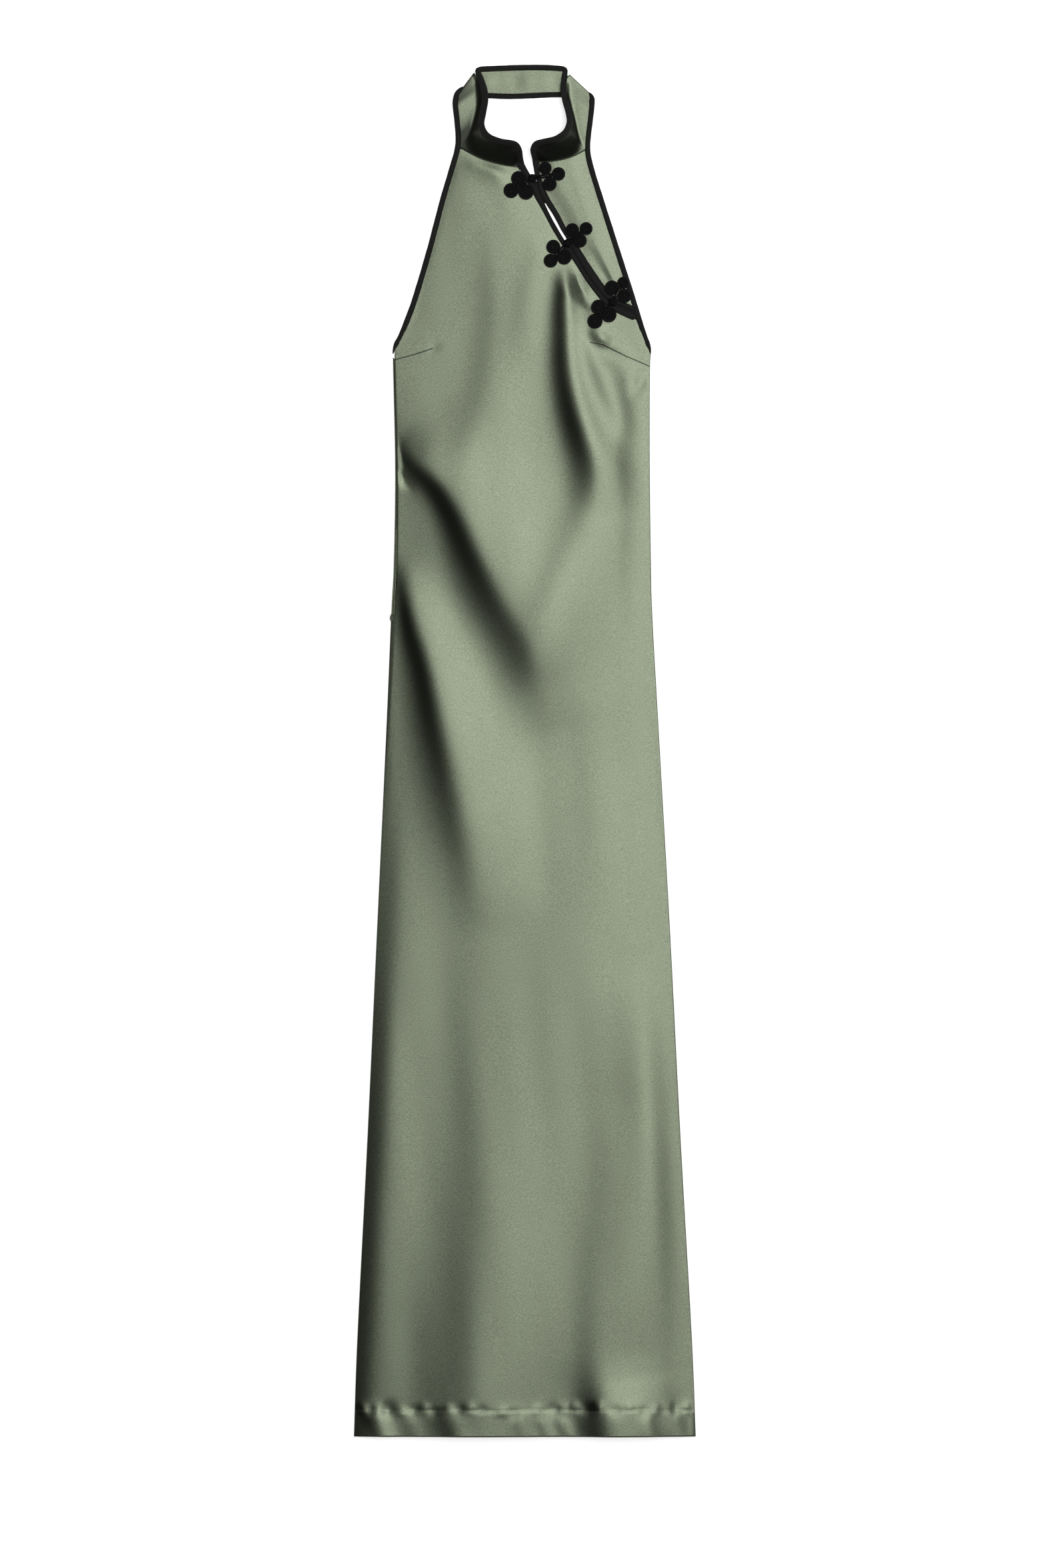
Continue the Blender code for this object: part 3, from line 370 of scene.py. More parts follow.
def satinFinish(name, darts=()):
    sheen = {"Sheen_Weight": satin["sheen"], "Sheen_Roughness": satin["sheenRoughness"]}
    finish = Finish(name, Metallic=satin["metallic"], **sheen)
    spot = finish.place()
    x, y = finish.apart(spot)
    stipple, grain, cloud = (finish.noise(spot, *satin[kind]) for kind in ("stipple", "grain", "cloud"))
    # Painted shade: where the attribute "steep" holds a steep slope, on the folds' sides, the colour is
    # mixed towards a near-black green.
    steep = finish.node("ShaderNodeAttribute", {"attribute_name": "steep"}, {}, "Fac")
    fold = steep.above(*satin["paintedShadeSlopes"]) * satin["paintedShadeStrength"]
    tone = stipple * satin["stippleShare"] + cloud * satin["cloudShare"] - satin["toneStart"]
    colour = finish.mix(tone, satin["shade"], satin["light"])
    colour = finish.mix(fold, colour, satin["paintedFoldShade"])
    height = grain + stipple * 0.4
    for (startX, startY), (endX, endY), half in darts:
        length = math.hypot(endX - startX, endY - startY)
        wayX, wayY = (endX - startX) / length, (endY - startY) / length
        fromX = x * 1000.0 - startX
        fromY = y * 1000.0 + (middleHeight - startY)
        beside = fromY * wayX - fromX * wayY
        along = fromX * wayX + fromY * wayY
        inside = along.above(-0.6, 0.6) * (1.0 - along.above(length - 0.6, length + 0.6))
        line = beside.within(half * 2.0) * inside
        colour = finish.mix(line * satin["seamCover"], colour, satin["seamShade"])
        height = height - line * satin["seamDepth"]
    normal = finish.bump(height, satin["grainStrength"], satin["grainDepth"])
    spread = satin["roughnessSpread"]
    roughness = satin["roughness"] + stipple * spread - spread / 2
    finish.link(Base_Color=colour, Roughness=roughness, Normal=normal)
    return finish.material


binding = {
    "shade": (0.0075, 0.008, 0.0075, 1.0),
    "light": (0.027, 0.0285, 0.026, 1.0),
    "specular": 0.13,
    "roughness": 0.66,
    "roughnessSpread": 0.16,
    "weaveDepth": 0.0003,
    "weaveStrength": 0.5,
    "thickness": 2.4,
    "spacing": 2.2,  # between the sections along a binding
    # across from the cloth to the free edge, and height, both as shares
    "section": [
        (0.03, 0), (0, 0.16), (-0.01, 0.46), (0.02, 0.76), (0.08, 0.92), (0.14, 0.94), (0.19, 0.86),
        (0.25, 0.95), (0.38, 1.01), (0.52, 1.03), (0.68, 1.01), (0.82, 0.94), (0.93, 0.8), (0.99, 0.56),
        (1, 0.3), (0.97, 0.1), (0.88, 0), (0.45, 0),
    ],
    "stitchAcross": 0.19,
    "stitchHigh": 0.93,
    "stitchSpacing": 2.7,
    "stitchLength": 1.9,
    "stitchRadius": 0.2,
}


def bindingFinish(name):
    finish = Finish(name, Specular_IOR_Level=binding["specular"], Sheen_Weight=0.04, Sheen_Roughness=0.5)
    spot = finish.place()
    grain = finish.noise(spot, 1100.0, 2.0, 0.6)
    worn = finish.noise(spot, 60.0, 3.0, 0.6)
    weave = finish.node(
        "ShaderNodeTexWave",
        {"wave_type": "BANDS", "bands_direction": "DIAGONAL", "wave_profile": "SIN"},
        {"Vector": spot, "Scale": 300.0, "Distortion": 1.0},
        "Fac",
    )
    colour = finish.mix(grain * 0.8 + worn * 0.6 - 0.2, binding["shade"], binding["light"])
    normal = finish.bump(grain * 0.7 + weave * 0.4, binding["weaveStrength"], binding["weaveDepth"])
    spread = binding["roughnessSpread"]
    roughness = binding["roughness"] + grain * spread - spread / 2
    finish.link(Base_Color=colour, Roughness=roughness, Normal=normal)
    return finish.material


cord = {
    "shade": (0.0028, 0.0028, 0.0031, 1.0),
    "light": (0.010, 0.010, 0.0108, 1.0),
    "specular": 0.16,
    "roughness": 0.55,
    "roughnessSpread": 0.2,
    "twist": 2.1,  # millimetres of cord for one turn of its strands
    "strandDepth": 0.0003,
    "strandStrength": 0.7,
}


def cordFinish(name):
    finish = Finish(name, Specular_IOR_Level=cord["specular"])
    around, along = finish.apart(finish.node("ShaderNodeUVMap", {"uv_map": "pattern"}, {}))
    turn = (along * (patternReach / cord["twist"]) + around * 2.0) * (2 * math.pi)
    strand = finish.node("ShaderNodeMath", {"operation": "SINE"}, {0: turn}) * 0.5 + 0.5
    spot = finish.place()
    fuzz = finish.noise(spot, 1600.0, 2.0, 0.6)
    # The strands' share of this mix is painted shade in the grooves between the strands and painted light
    # on their crests, as in the bump below; the fuzz is the cord's own random tone.
    colour = finish.mix(strand * 0.6 + fuzz * 0.4, cord["shade"], cord["light"])
    normal = finish.bump(strand + fuzz * 0.5, cord["strandStrength"], cord["strandDepth"])
    spread = cord["roughnessSpread"]
    roughness = cord["roughness"] + fuzz * spread - spread / 2
    finish.link(Base_Color=colour, Roughness=roughness, Normal=normal)
    return finish.material


def threadFinish(name, shade, light):
    finish = Finish(name, Specular_IOR_Level=0.15)
    spot = finish.place()
    fibre = finish.noise(spot, 2400.0, 2.0, 0.6)
    finish.link(
        Base_Color=finish.mix(fibre, shade, light),
        Roughness=0.5 + fibre * 0.2,
        Normal=finish.bump(fibre, 0.4, 0.0001),
    )
    return finish.material


satinPlain = satinFinish("sage_satin")
satinDarts = satinFinish("sage_satin_front", dartLines)
blackBinding = bindingFinish("black_binding")
blackCord = cordFinish("black_cord")
blackThread = threadFinish("black_thread", (0.013, 0.013, 0.012, 1.0), (0.034, 0.035, 0.033, 1.0))
greenThread = threadFinish("green_thread", (0.17, 0.20, 0.14, 1.0), (0.30, 0.345, 0.25, 1.0))
print("materials made")

# Outline and bindings

garment = {
    # height of the side seams, and where they lie at the left and right
    "sides": [
        (0, -166.7, 166.7), (95, -163.4, 162.9), (290, -153.6, 151.9), (485, -144.6, 142),
        (680, -135.5, 131), (800, -130.4, 124.3), (850, -127.9, 123), (940, -126.5, 121.8),
        (1036, -128.4, 121.9), (1056, -128.6, 122.9),
    ],
    # height, and how far the front's left edge lies inside the outline
    "seamInset": [(0, 0.0), (600, 0.4), (700, 2.2), (800, 3.4), (870, 2.8), (950, 1.8), (1050, 1.6)],
    # from the front opening out to the armholes
    "neckSeams": {
        "left": [
            (-7.2, 1238.2), (-15, 1239), (-26.3, 1241.2), (-40, 1245.2), (-52.3, 1250.8), (-62, 1256.4),
        ],
        "right": [(13.6, 1242.4), (23.5, 1243), (34.7, 1244.6), (47.1, 1248.3), (58.6, 1254.4)],
    },
    "sidePoint": 1056.0,
    "openingCorner": (109.4, 1085.6),
    "yokeTip": 1102.8,
    "cloth": 1.2,
    "wall": 0.6,
    "seam": 0.3,
    "layer": 1.5,  # height of the front's underside where it lies on the back
    "bodiceLayer": 0.6,
    "clear": 0.02,  # lowest point of any strip above the surface
}



def level(height, *rows):
    # rows of x, y and width with one height at both edges
    return [(*row, height, height) for row in rows]


# rows of x, y, width, and height of the underside at the cloth and at the free edge
bindings = {
    "armhole_binding_left": {
        "clothSide": -1,
        "path": [
            (-128.6, 1055.5, 1, 1.3, 1.3), (-127.4, 1060.2, 2.8, 1.2, 1.2),
            (-125.2, 1065.2, 4.8, 0.6, 0.6),
            *level(
                0, (-121.2, 1072, 5.4), (-115, 1087, 5.6), (-106.4, 1111, 5.6),
                (-92.8, 1157, 5.6), (-80.4, 1204, 5.6), (-71.3, 1235, 5.6), (-66.2, 1253, 5.6),
                (-64.8, 1266, 5.6),
            ),
            (-66.2, 1284, 5.6, 0.4, 0), (-67.6, 1298, 5.6, 2.2, 1.6),
            (-67.2, 1304, 5.6, 3, 2.9), (-66, 1308.6, 5.4, 2.8, 2.6),
            (-62.5, 1312.5, 4.6, 2.6, 2.2), (-59.6, 1314.4, 3.2, 2.4, 2.2),
        ],
    },
    "armhole_binding_right": {
        "clothSide": 1,
        "path": [
            (122.5, 1055.5, 1, 1.3, 1.3), (121.7, 1060.2, 2.8, 1.2, 1.2),
            (119.7, 1065, 4.8, 0.6, 0.6),
            *level(
                0, (117, 1071.5, 5.4), (111.8, 1087, 5.6), (104.7, 1110.5, 5.6),
                (89.6, 1157.3, 5.6), (74.6, 1204.1, 5.6), (64.9, 1235.3, 5.6), (61.3, 1252, 5.6),
                (61.5, 1266, 5.6),
            ),
            (63.6, 1283, 5.6, 0.4, 0), (65, 1296.5, 5.6, 2.2, 1.6), (65.3, 1301, 5.6, 3, 2.9),
            (65.2, 1304.6, 5.2, 2.8, 2.6), (63.6, 1307.8, 3.4, 2.6, 2.2), (62, 1309.6, 1.6, 2.4, 2.2),
        ],
    },
    "collar_binding_left": {
        "clothSide": -1,
        "path": [
            (-46, 1333.2, 2.8, 2.4, 2.4), (-46.3, 1331.6, 4.2, 2.8, 2.7),
            (-45.4, 1328.8, 5.3, 3.6, 3.6), (-43, 1323.5, 5.6, 5.6, 6.6),
            (-39.3, 1312, 6.2, 7.4, 9.2), (-38.6, 1301, 6.2, 9.4, 11.8),
            (-40.6, 1288, 6, 11.6, 14.6), (-41.7, 1277, 5.6, 13.6, 17),
            (-36.4, 1267.4, 5.2, 15.2, 19), (-25, 1262.2, 4.8, 16, 20.2),
            (-14.9, 1260.4, 4.8, 16.2, 20.4), (-8.6, 1258.4, 5.2, 15.8, 19.6),
            (-5.7, 1253.4, 5.8, 13.6, 15.4), (-4.8, 1247, 6.2, 6.6, 7.4),
            (-4.3, 1243, 6.6, 1.5, 1.5), (-3.6, 1238.6, 7.2, 0.7, 0.7), (-2.4, 1236.2, 7, 0.6, 0.6),
        ],
    },
    "collar_binding_right": {
        "clothSide": 1,
        "path": [
            (39.4, 1333, 2.8, 2.4, 2.4), (39.6, 1331.4, 4.2, 2.8, 2.7), (39, 1328.6, 5.1, 3.6, 3.6),
            (37.9, 1320.6, 5.4, 5.6, 6.6), (37, 1311, 5.4, 7.4, 9.2),
            (39.2, 1300, 5.4, 9.4, 11.8), (42.2, 1288, 5.2, 11.6, 14.6),
            (42.6, 1279, 5, 13.2, 16.6), (38.6, 1270.4, 4.8, 15, 18.8),
            (29.6, 1264.4, 4.6, 16, 20), (18, 1261.6, 4.6, 16.2, 20.4),
            (10.6, 1259.2, 4.9, 15.8, 19.6), (7.6, 1253.9, 5, 13.6, 15.4),
            (8.8, 1248.6, 5.2, 7, 7.6), (9.9, 1244.8, 5.8, 1.5, 1.5), (10.9, 1241.2, 6.6, 0.7, 0.7),
            (11.3, 1238.6, 6.4, 0.6, 0.6),
        ],
    },
    "opening_binding_front": {
        "clothSide": -1,
        "path": [
            *level(
                0.6, (-3, 1238.6, 6.2), (0.7, 1231.4, 6.5), (8.6, 1217.6, 6.6), (12.7, 1208.4, 6),
                (16.8, 1200.8, 5.4), (24.2, 1186.5, 4.8), (30, 1176, 4.9), (36.6, 1165, 4.9),
                (43.4, 1154.6, 4.9), (49.4, 1146.8, 4.8), (61.2, 1128.2, 4.8), (68.6, 1118.2, 4.9),
                (76.2, 1108.9, 5.2), (82.8, 1102.8, 5.6), (90, 1098.5, 6.2), (98, 1094.9, 6.8),
            ),
            (105, 1091.7, 6.6, 0.3, 0.3), (109.5, 1089.6, 6, -1.3, -1.3),
        ],
    },
    "opening_binding_yoke": {
        "clothSide": 1,
        "path": [
            (10.4, 1241.2, 5.2, 0.6, 0.6), (12, 1231, 4.9, 0.6, 0.6),
            *level(
                0.5, (14.7, 1222.4, 5.4), (17.6, 1213.8, 5.9), (22, 1204.7, 5.8), (30.6, 1190.9, 5.6),
                (38.2, 1176.5, 5.3), (44.6, 1166.7, 6), (55.5, 1148.2, 7.1), (68, 1128.9, 7.4),
                (75.2, 1119.2, 7.2), (81.8, 1111.7, 6.5), (90, 1106.4, 5), (97.6, 1103, 4.9),
            ),
            (103.6, 1100.1, 4.8, 0.3, 0.3), (108.2, 1097.6, 4.4, -1.3, -1.3),
        ],
    },
    "neckband_binding_top": {
        "clothSide": -1,
        "path": [
            *level(
                0, (-47.2, 1331.2, 3), (-45.4, 1332.2, 4.6), (-42, 1332.9, 5.3),
                (-19.8, 1333.9, 5.4), (6.2, 1334.6, 5.4), (25, 1334.2, 5.4), (37, 1333.2, 5.3),
                (39.6, 1332, 4.6), (40.8, 1330.8, 3),
            ),
        ],
    },
    "neckband_binding_bottom": {
        "clothSide": 1,
        "path": [
            *level(
                0, (-61, 1305.8, 4.8), (-36, 1306.8, 5), (-11.4, 1306.2, 5),
                (34.8, 1307.9, 5), (57.5, 1306, 4.8),
            ),
        ],
    },
    "back_neck_binding": {
        "clothSide": -1,
        "thickness": 1.2,
        "path": [
            *level(
                0, (-119.5, 1047, 5.2), (-96, 1021, 5.6), (-52, 994, 5.6),
                (-3, 985, 5.6), (46, 994, 5.6), (90, 1021, 5.6), (113.5, 1047, 5.2),
            ),
        ],
    },
}


def bindingEdge(node, gap, samples=160):
    # the line beside a binding on the side of its cloth, with the height of the binding's underside there
    line = smoothCurve(bindings[node]["path"], samples)
    out = leftNormals(line) * bindings[node]["clothSide"]
    return np.column_stack([line[:, :2] + out * (line[:, 2:3] / 2 + gap), line[:, 3]])


def stripForm(path, clothSide, thickness, section):
    # a folded strip, with cloth edge + (free edge - cloth edge) * over + up * thickness * high
    # for each of the section's points
    line = np.asarray(path)
    along = lengthsAlong(line)
    width = line[:, 2] * (1 + ripple(along, (31, 0.4, 0.018), (11.7, 2.1, 0.014), (5.3, 0.9, 0.008)))
    out = leftNormals(line) * clothSide
    cloth = np.column_stack([line[:, :2] + out * width[:, None] / 2, line[:, 3]])
    free = np.column_stack([line[:, :2] - out * width[:, None] / 2, line[:, 4]])
    way = np.gradient((cloth + free) / 2, axis=0)
    up = unit(np.cross(free - cloth, way) * clothSide)
    tall = thickness * (1 + ripple(along, (23, 1.7, 0.03), (8.3, 0.2, 0.025)))
    over, high = (column[None, :, None] for column in np.array(section).T)
    ring = cloth[:, None] + (free - cloth)[:, None] * over + (up * tall[:, None])[:, None] * high
    ring[..., 2] = np.maximum(ring[..., 2], garment["clear"])
    return (cloth + free) / 2, ring, cloth, free, up, way


def stitchForm(middle, way, up, length, radius):
    # one short spindle of thread at each place: two rings of five points between two ends
    way = unit(way)
    ring = radius * circles(np.cross(way, up), up, 5)
    ends = (way * length / 2)[:, None]
    shape = np.concatenate([-ends, ring - ends * 0.62, ring + ends * 0.62, ends], axis=1) + middle[:, None]
    j, nextJ = np.arange(5), (np.arange(5) + 1) % 5
    caps = (0 * j, 1 + nextJ, 1 + j), (0 * j + 11, 6 + j, 6 + nextJ)
    threes = np.vstack([np.stack(cap, -1) for cap in caps])
    fours = np.stack([1 + j, 1 + nextJ, 6 + nextJ, 6 + j], -1)
    first = (np.arange(len(middle)) * 12)[:, None, None]
    threes, fours = (threes[None] + first).reshape(-1, 3), (fours[None] + first).reshape(-1, 4)
    return shape.reshape(-1, 3), threes.tolist() + fours.tolist()


def makeStitches(name, forms, finish):
    points, faces, count = [], [], 0
    for shape, sides in forms:
        points.append(shape)
        faces += [[corner + count for corner in face] for face in sides]
        count += len(shape)
    corners = sum(len(face) for face in faces)
    piece = makePiece(name, np.vstack(points), faces, np.zeros((corners, 2)), finish, closed=True)
    return trim(piece)


# Black cloth that fills the groove between the opening's two strips, except where light shows through it
facing = {
    "section": [(0.05, 0.0), (0.0, 0.5), (0.06, 1.0), (0.94, 1.0), (1.0, 0.5), (0.95, 0.0)],
    "thickness": 0.9,
    "parts": [
        [
            *level(
                0.3, (6.6, 1227.5, 4), (11.8, 1219, 4), (15.6, 1209.5, 3.4), (19.6, 1202, 2.2),
            ),
        ],
        [
            *level(
                0.3, (39.6, 1165.8, 2.6), (46, 1154.8, 4), (61.6, 1130.2, 4), (73, 1114.8, 4),
                (84, 1105.4, 4.4), (98, 1098.9, 5), (109.6, 1093, 7.4),
            ),
        ],
    ],
}

stitchForms = {}
for node, settings in bindings.items():
    rough = smoothCurve(settings["path"], 80)
    samples = int(lengthsAlong(rough)[-1] / binding["spacing"]) + 1
    line = smoothCurve(settings["path"], samples)
    thickness = settings.get("thickness", binding["thickness"])
    path, ring, cloth, free, up, way = stripForm(line, settings["clothSide"], thickness, binding["section"])
    points, faces, uv = roundForm([path], [ring])
    dress(makePiece(node + "_strip", points, faces, uv, blackBinding, closed=True), node)
    count = int(lengthsAlong(line)[-1] / binding["stitchSpacing"])
    share = (np.arange(count) + 0.5) / count
    seat = cloth + (free - cloth) * binding["stitchAcross"] + up * thickness * binding["stitchHigh"]
    seat, way, up = (spaced(np.column_stack([seat, way, up]), share)[:, i : i + 3] for i in (0, 3, 6))
    stitchForms[node] = stitchForm(seat, way, up, binding["stitchLength"], binding["stitchRadius"])
lines = [smoothCurve(part, 24) for part in facing["parts"]]
forms = [stripForm(line, 1, facing["thickness"], facing["section"])[:2] for line in lines]
facingPiece = makePiece("opening_facing", *roundForm(*zip(*forms)), blackBinding, closed=True)
openingFacing = trim(facingPiece)
print("bindings made")

# Front panel

frontPanel = {
    "columns": 100,
    "rowSteps": [(0, 42, 1.5), (42, 84, 2.0), (84, 1056, 3.0)],  # from, to and spacing of the rows
    "cornerRows": 12,
    "openingRows": 74,
    "neckRows": 16,
    "rimShares": (0.0, 0.001, 0.0027),  # columns close to each side
    "planPasses": 60,  # these take the bend at the opening's corner out of the columns
    "puff": 2.2,
    "bodicePuff": 1.0,
    "puffReach": 84.0,
    "puffChange": 140.0,  # the height over which one puff turns into the other below the side seams' tops
    "edgeReach": (20.0, 34.0),  # how far from the left and the right side the folds reach their full height
    "foldTop": 10.0,  # how far from the neck seam the folds, the puff and the creases reach theirs
    "puffTop": 25.0,
    "creaseReach": 6.0,
    "crispPower": 1.45,
    "roll": (0.8, 0.35),  # width and depth of the roll along the side seams
    "lowest": 1.72,
    "tuck": 1.2,  # how far the cloth reaches into its bindings
    "hem": 25.0,
    "hemTop": 75.0,  # height that no fold of the hem reaches
    "flat": (0.345, 1.262),
    "area": 0.34,
}
# Each fold's crest: x, y, rise, and how far it falls away on its left or hem side and on its right or
# collar side
folds = {
    "hipRight": [
        (112, 990, 0, 22, 36), (93, 960, 2, 23, 40), (76, 926, 3.3, 24, 44), (62, 889, 3.9, 24, 46),
        (48, 851, 3.9, 24, 46), (33, 813, 3.4, 25, 46), (19, 765, 2.4, 26, 44), (2, 670, 0, 28, 42),
    ],
    "skirtLeft": [
        (-44, 640, 0, 34, 80), (-36, 500, 1.8, 36, 82), (-30, 380, 2.8, 40, 80),
        (-28, 280, 4, 44, 78), (-32, 190, 6, 48, 74), (-38, 110, 7.8, 50, 70),
        (-43, 40, 8.8, 50, 64), (-45, 0, 8.8, 48, 62),
    ],
    "skirtRight": [
        (104, 460, 0, 40, 60), (120, 350, 3, 42, 60), (118, 230, 3.6, 42, 60),
        (108, 130, 2.6, 42, 60), (98, 60, 1.2, 38, 60), (94, 0, 0.6, 38, 60),
    ],
    "skirtMiddle": [
        (70, 660, 0, 44, 64), (62, 550, 1.3, 46, 64), (58, 440, 1.4, 46, 64), (60, 320, 0, 46, 64),
    ],
    "bodiceLeft": [
        (-38, 1215, 0, 16, 50), (-30, 1160, 1, 16, 55), (-26, 1108, 1.6, 16, 55),
        (-28, 1062, 1.7, 16, 55), (-36, 1020, 1.6, 16, 50), (-46, 980, 1.2, 16, 45),
        (-54, 950, 0.5, 16, 40), (-58, 925, 0, 16, 40),
    ],
    "bodiceMiddle": [
        (14, 1180, 0, 12, 26), (10, 1138, 0.8, 12, 28), (6, 1108, 1.1, 12, 30), (3, 1076, 0.9, 12, 30),
        (2, 1036, 0, 12, 30),
    ],
}
# Crisper ones, in the same columns: their left side is steepest beside the crest
crispFolds = {
    "waistDrag": [
        (-127, 962, 0.5, 6, 30), (-114, 953, 2.8, 7, 36), (-99, 942, 5, 9, 46),
        (-81, 925, 6.4, 11, 56), (-65, 901, 7.6, 14, 66), (-51, 873, 8.6, 18, 74),
        (-36, 844, 9.2, 22, 80), (-20, 814, 9.2, 26, 80), (-3, 784, 8.2, 31, 76), (9, 758, 6, 35, 72),
        (18, 728, 3, 38, 66), (26, 685, 0, 38, 60),
    ],
    "hipDrag": [
        (-127, 856, 0, 6, 20), (-118, 826, 2.4, 6, 24), (-108, 791, 4.8, 9, 32),
        (-94, 748, 6.6, 13, 38), (-83, 700, 7.4, 17, 44), (-72, 652, 7.2, 20, 50),
        (-62, 602, 5.6, 23, 52), (-53, 555, 3.2, 26, 52), (-45, 490, 0, 28, 52),
    ],
    "bustDeep": [
        (42, 1170, 0, 6, 9), (42.5, 1148, 2, 6, 9), (41, 1130, 4.8, 6, 9), (40, 1100, 6.2, 7, 10),
        (41, 1062, 6.4, 8.5, 12), (44, 1032, 6.6, 10.5, 15), (51, 1001, 7.4, 13, 18),
        (59, 975, 7.4, 15, 22), (65, 952, 5.6, 17, 26), (68, 930, 2.8, 19, 30), (70, 900, 0, 20, 30),
    ],
    "bustOuter": [
        (56, 1146, 0, 5, 8), (57, 1124, 2.2, 5.5, 9), (56, 1100, 3, 6, 10), (58, 1078, 3.8, 7, 12),
        (64, 1056, 4.6, 9, 16), (73, 1036, 5, 12, 19), (84, 1010, 4.8, 15, 22),
        (96, 988, 3.2, 17, 24), (106, 972, 1, 18, 24), (112, 962, 0, 18, 24),
    ],
    "leftEdge": [
        (-112, 700, 0, 20, 34), (-117, 600, 0.8, 20, 36), (-124, 490, 1.8, 20, 38),
        (-131, 365, 2.6, 20, 40), (-138, 240, 3, 20, 40), (-144, 120, 3.2, 20, 40),
        (-149, 0, 3.2, 20, 40),
    ],
    "neckRoll": [
        (-60, 1249, 0, 7, 6), (-46, 1241, 1.8, 8, 7), (-28, 1234, 2.6, 9, 7), (-12, 1232, 1.6, 9, 7),
        (-6, 1231, 0, 8, 6),
    ],
    "hemBig": [
        (84, 330, 0, 24, 50), (78, 230, 1.4, 28, 54), (70, 133, 3, 30, 56), (68, 84, 4, 26, 58),
        (70, 56, 5.4, 20, 58), (73, 37, 7.4, 18, 58), (77, 18, 9, 21, 58), (81, 0, 9.2, 23, 58),
    ],
}
# Small creases that only the cloth itself shows, in the same columns
creases = {
    "pinchUpper": [(-128, 972, -1.2, 4, 4), (-121, 955, -2.4, 4, 4), (-112, 940, 0, 5, 5)],
    "pinchLower": [(-127, 941, -1.5, 3, 3), (-119, 934, -2.0, 4, 4), (-106, 922, 0, 5, 5)],
    "dartLeftPucker": [(-95, 1061, 0, 3, 3), (-89, 1061, -0.5, 3, 3), (-82, 1063, 0, 4, 4)],
    "dartRightPucker": [(84, 1065, 0, 5, 5), (74, 1071, -1.8, 5, 6), (62, 1078, 0, 6, 6)],
    "dartRightRidge": [(104, 1047, 0, 4, 3), (86, 1055, 0.9, 5, 3), (66, 1062, 0, 5, 3)],
    "sidePuckerRight": [(120, 1036, 0, 4, 4), (112, 1026, 1.0, 6, 6), (104, 1010, 0, 6, 6)],
    "frogPucker": [
        (50, 1134, 0, 3, 3), (54, 1124, -1.2, 4, 4), (58, 1110, -0.8, 4, 4), (60, 1098, 0, 4, 4),
    ],
}
# Short folds that run down through the hem: where each starts and ends, its rise and its half-width
hemRipples = [
    (-152, 40, -138, 1.6, 10), (-118, 30, -106, 0.7, 10), (-80, 36, -66, 1.1, 12), (-12, 38, 2, 0.9, 8),
    (8, 32, 24, 0.9, 7), (28, 30, 42, 0.8, 7), (114, 44, 122, 1, 8), (142, 40, 152, 1.2, 9),
]
hemPuckers = [  # x, y, rise, half-width across and up: marks that the stitching pulls
    (-158, 28, 0.9, 4, 5), (-150, 26, -0.8, 3, 5), (-133, 27, -1.4, 6, 7), (-120, 24, 0.8, 5, 5),
    (-108, 26, -0.8, 4, 5), (-98, 29, 0.9, 3, 5), (-88, 24, -0.9, 4, 5), (-75, 28, 0.8, 3, 5),
    (-64, 27, -0.8, 3, 5), (-54, 29, 0.9, 3, 5), (-42, 27, -0.7, 3, 4), (-22, 25, 0.7, 4, 5),
    (-10, 22, -0.8, 4, 6), (12, 27, 0.8, 3, 5), (28, 26, -0.8, 3, 6), (38, 28, 0.8, 3, 5),
    (48, 30, 1, 3, 5), (60, 27, -1, 4, 6), (72, 30, 1.2, 3, 6), (88, 26, -0.7, 4, 5),
    (102, 29, 0.8, 4, 5), (116, 24, -1, 4, 7), (128, 27, 0.7, 3, 5), (146, 27, -0.9, 3, 7),
    (158, 28, 0.8, 3, 6),
]


def foldHeight(x, y, lines, power=2.0):
    # for each fold: rise at the crest's nearest point * exp(-(distance / width)^power), the width chosen by
    # the side; the power is that of the left side, and the right side has 2
    total = np.zeros_like(x)
    for rows in lines.values():
        line = smoothCurve(rows, 110)
        way = np.gradient(line[:, :2], axis=0)
        reach = 3.2 * max(line[:, 3].max(), line[:, 4].max())
        low, high = line[:, :2].min(axis=0) - reach, line[:, :2].max(axis=0) + reach
        close = (x > low[0]) & (x < high[0]) & (y > low[1]) & (y < high[1])
        dx = x[close][:, None] - line[:, 0]
        dy = y[close][:, None] - line[:, 1]
        away = dx**2 + dy**2
        near = np.argmin(away, axis=1)
        pick = np.arange(len(near))
        side = dy[pick, near] * way[near, 0] - dx[pick, near] * way[near, 1]
        share = np.sqrt(away[pick, near]) / np.where(side > 0, line[near, 4], line[near, 3])
        total[close] += line[near, 2] * np.exp(-(share ** np.where(side > 0, 2.0, power)))
    return total


def softenedRows(height, gaps):
    # half the grid and half the mean of the rows beside each, weighed so that an even slope stays as it is
    below, above = np.vstack([gaps[:1], gaps]), np.vstack([gaps, gaps[-1:]])
    held = np.vstack([2 * height[:1] - height[1:2], height, 2 * height[-1:] - height[-2:-1]])
    return 0.5 * height + 0.5 * (held[:-2] * above + held[2:] * below) / (above + below)


def softened(height, plan, passes):
    # the same along both axes of a grid, again and again
    upward, across = (np.maximum(np.linalg.norm(np.diff(plan, axis=axis), axis=2), 0.2) for axis in (0, 1))
    for _ in range(passes):
        height = softenedRows(height, upward)
        height = softenedRows(height.T, across.T).T
    return height


def hemSeam(x):
    # height of the hem's stitch line
    return frontPanel["hem"] + ripple(x, (90, 0.5, 0.5), (37, 1.0, 0.3))


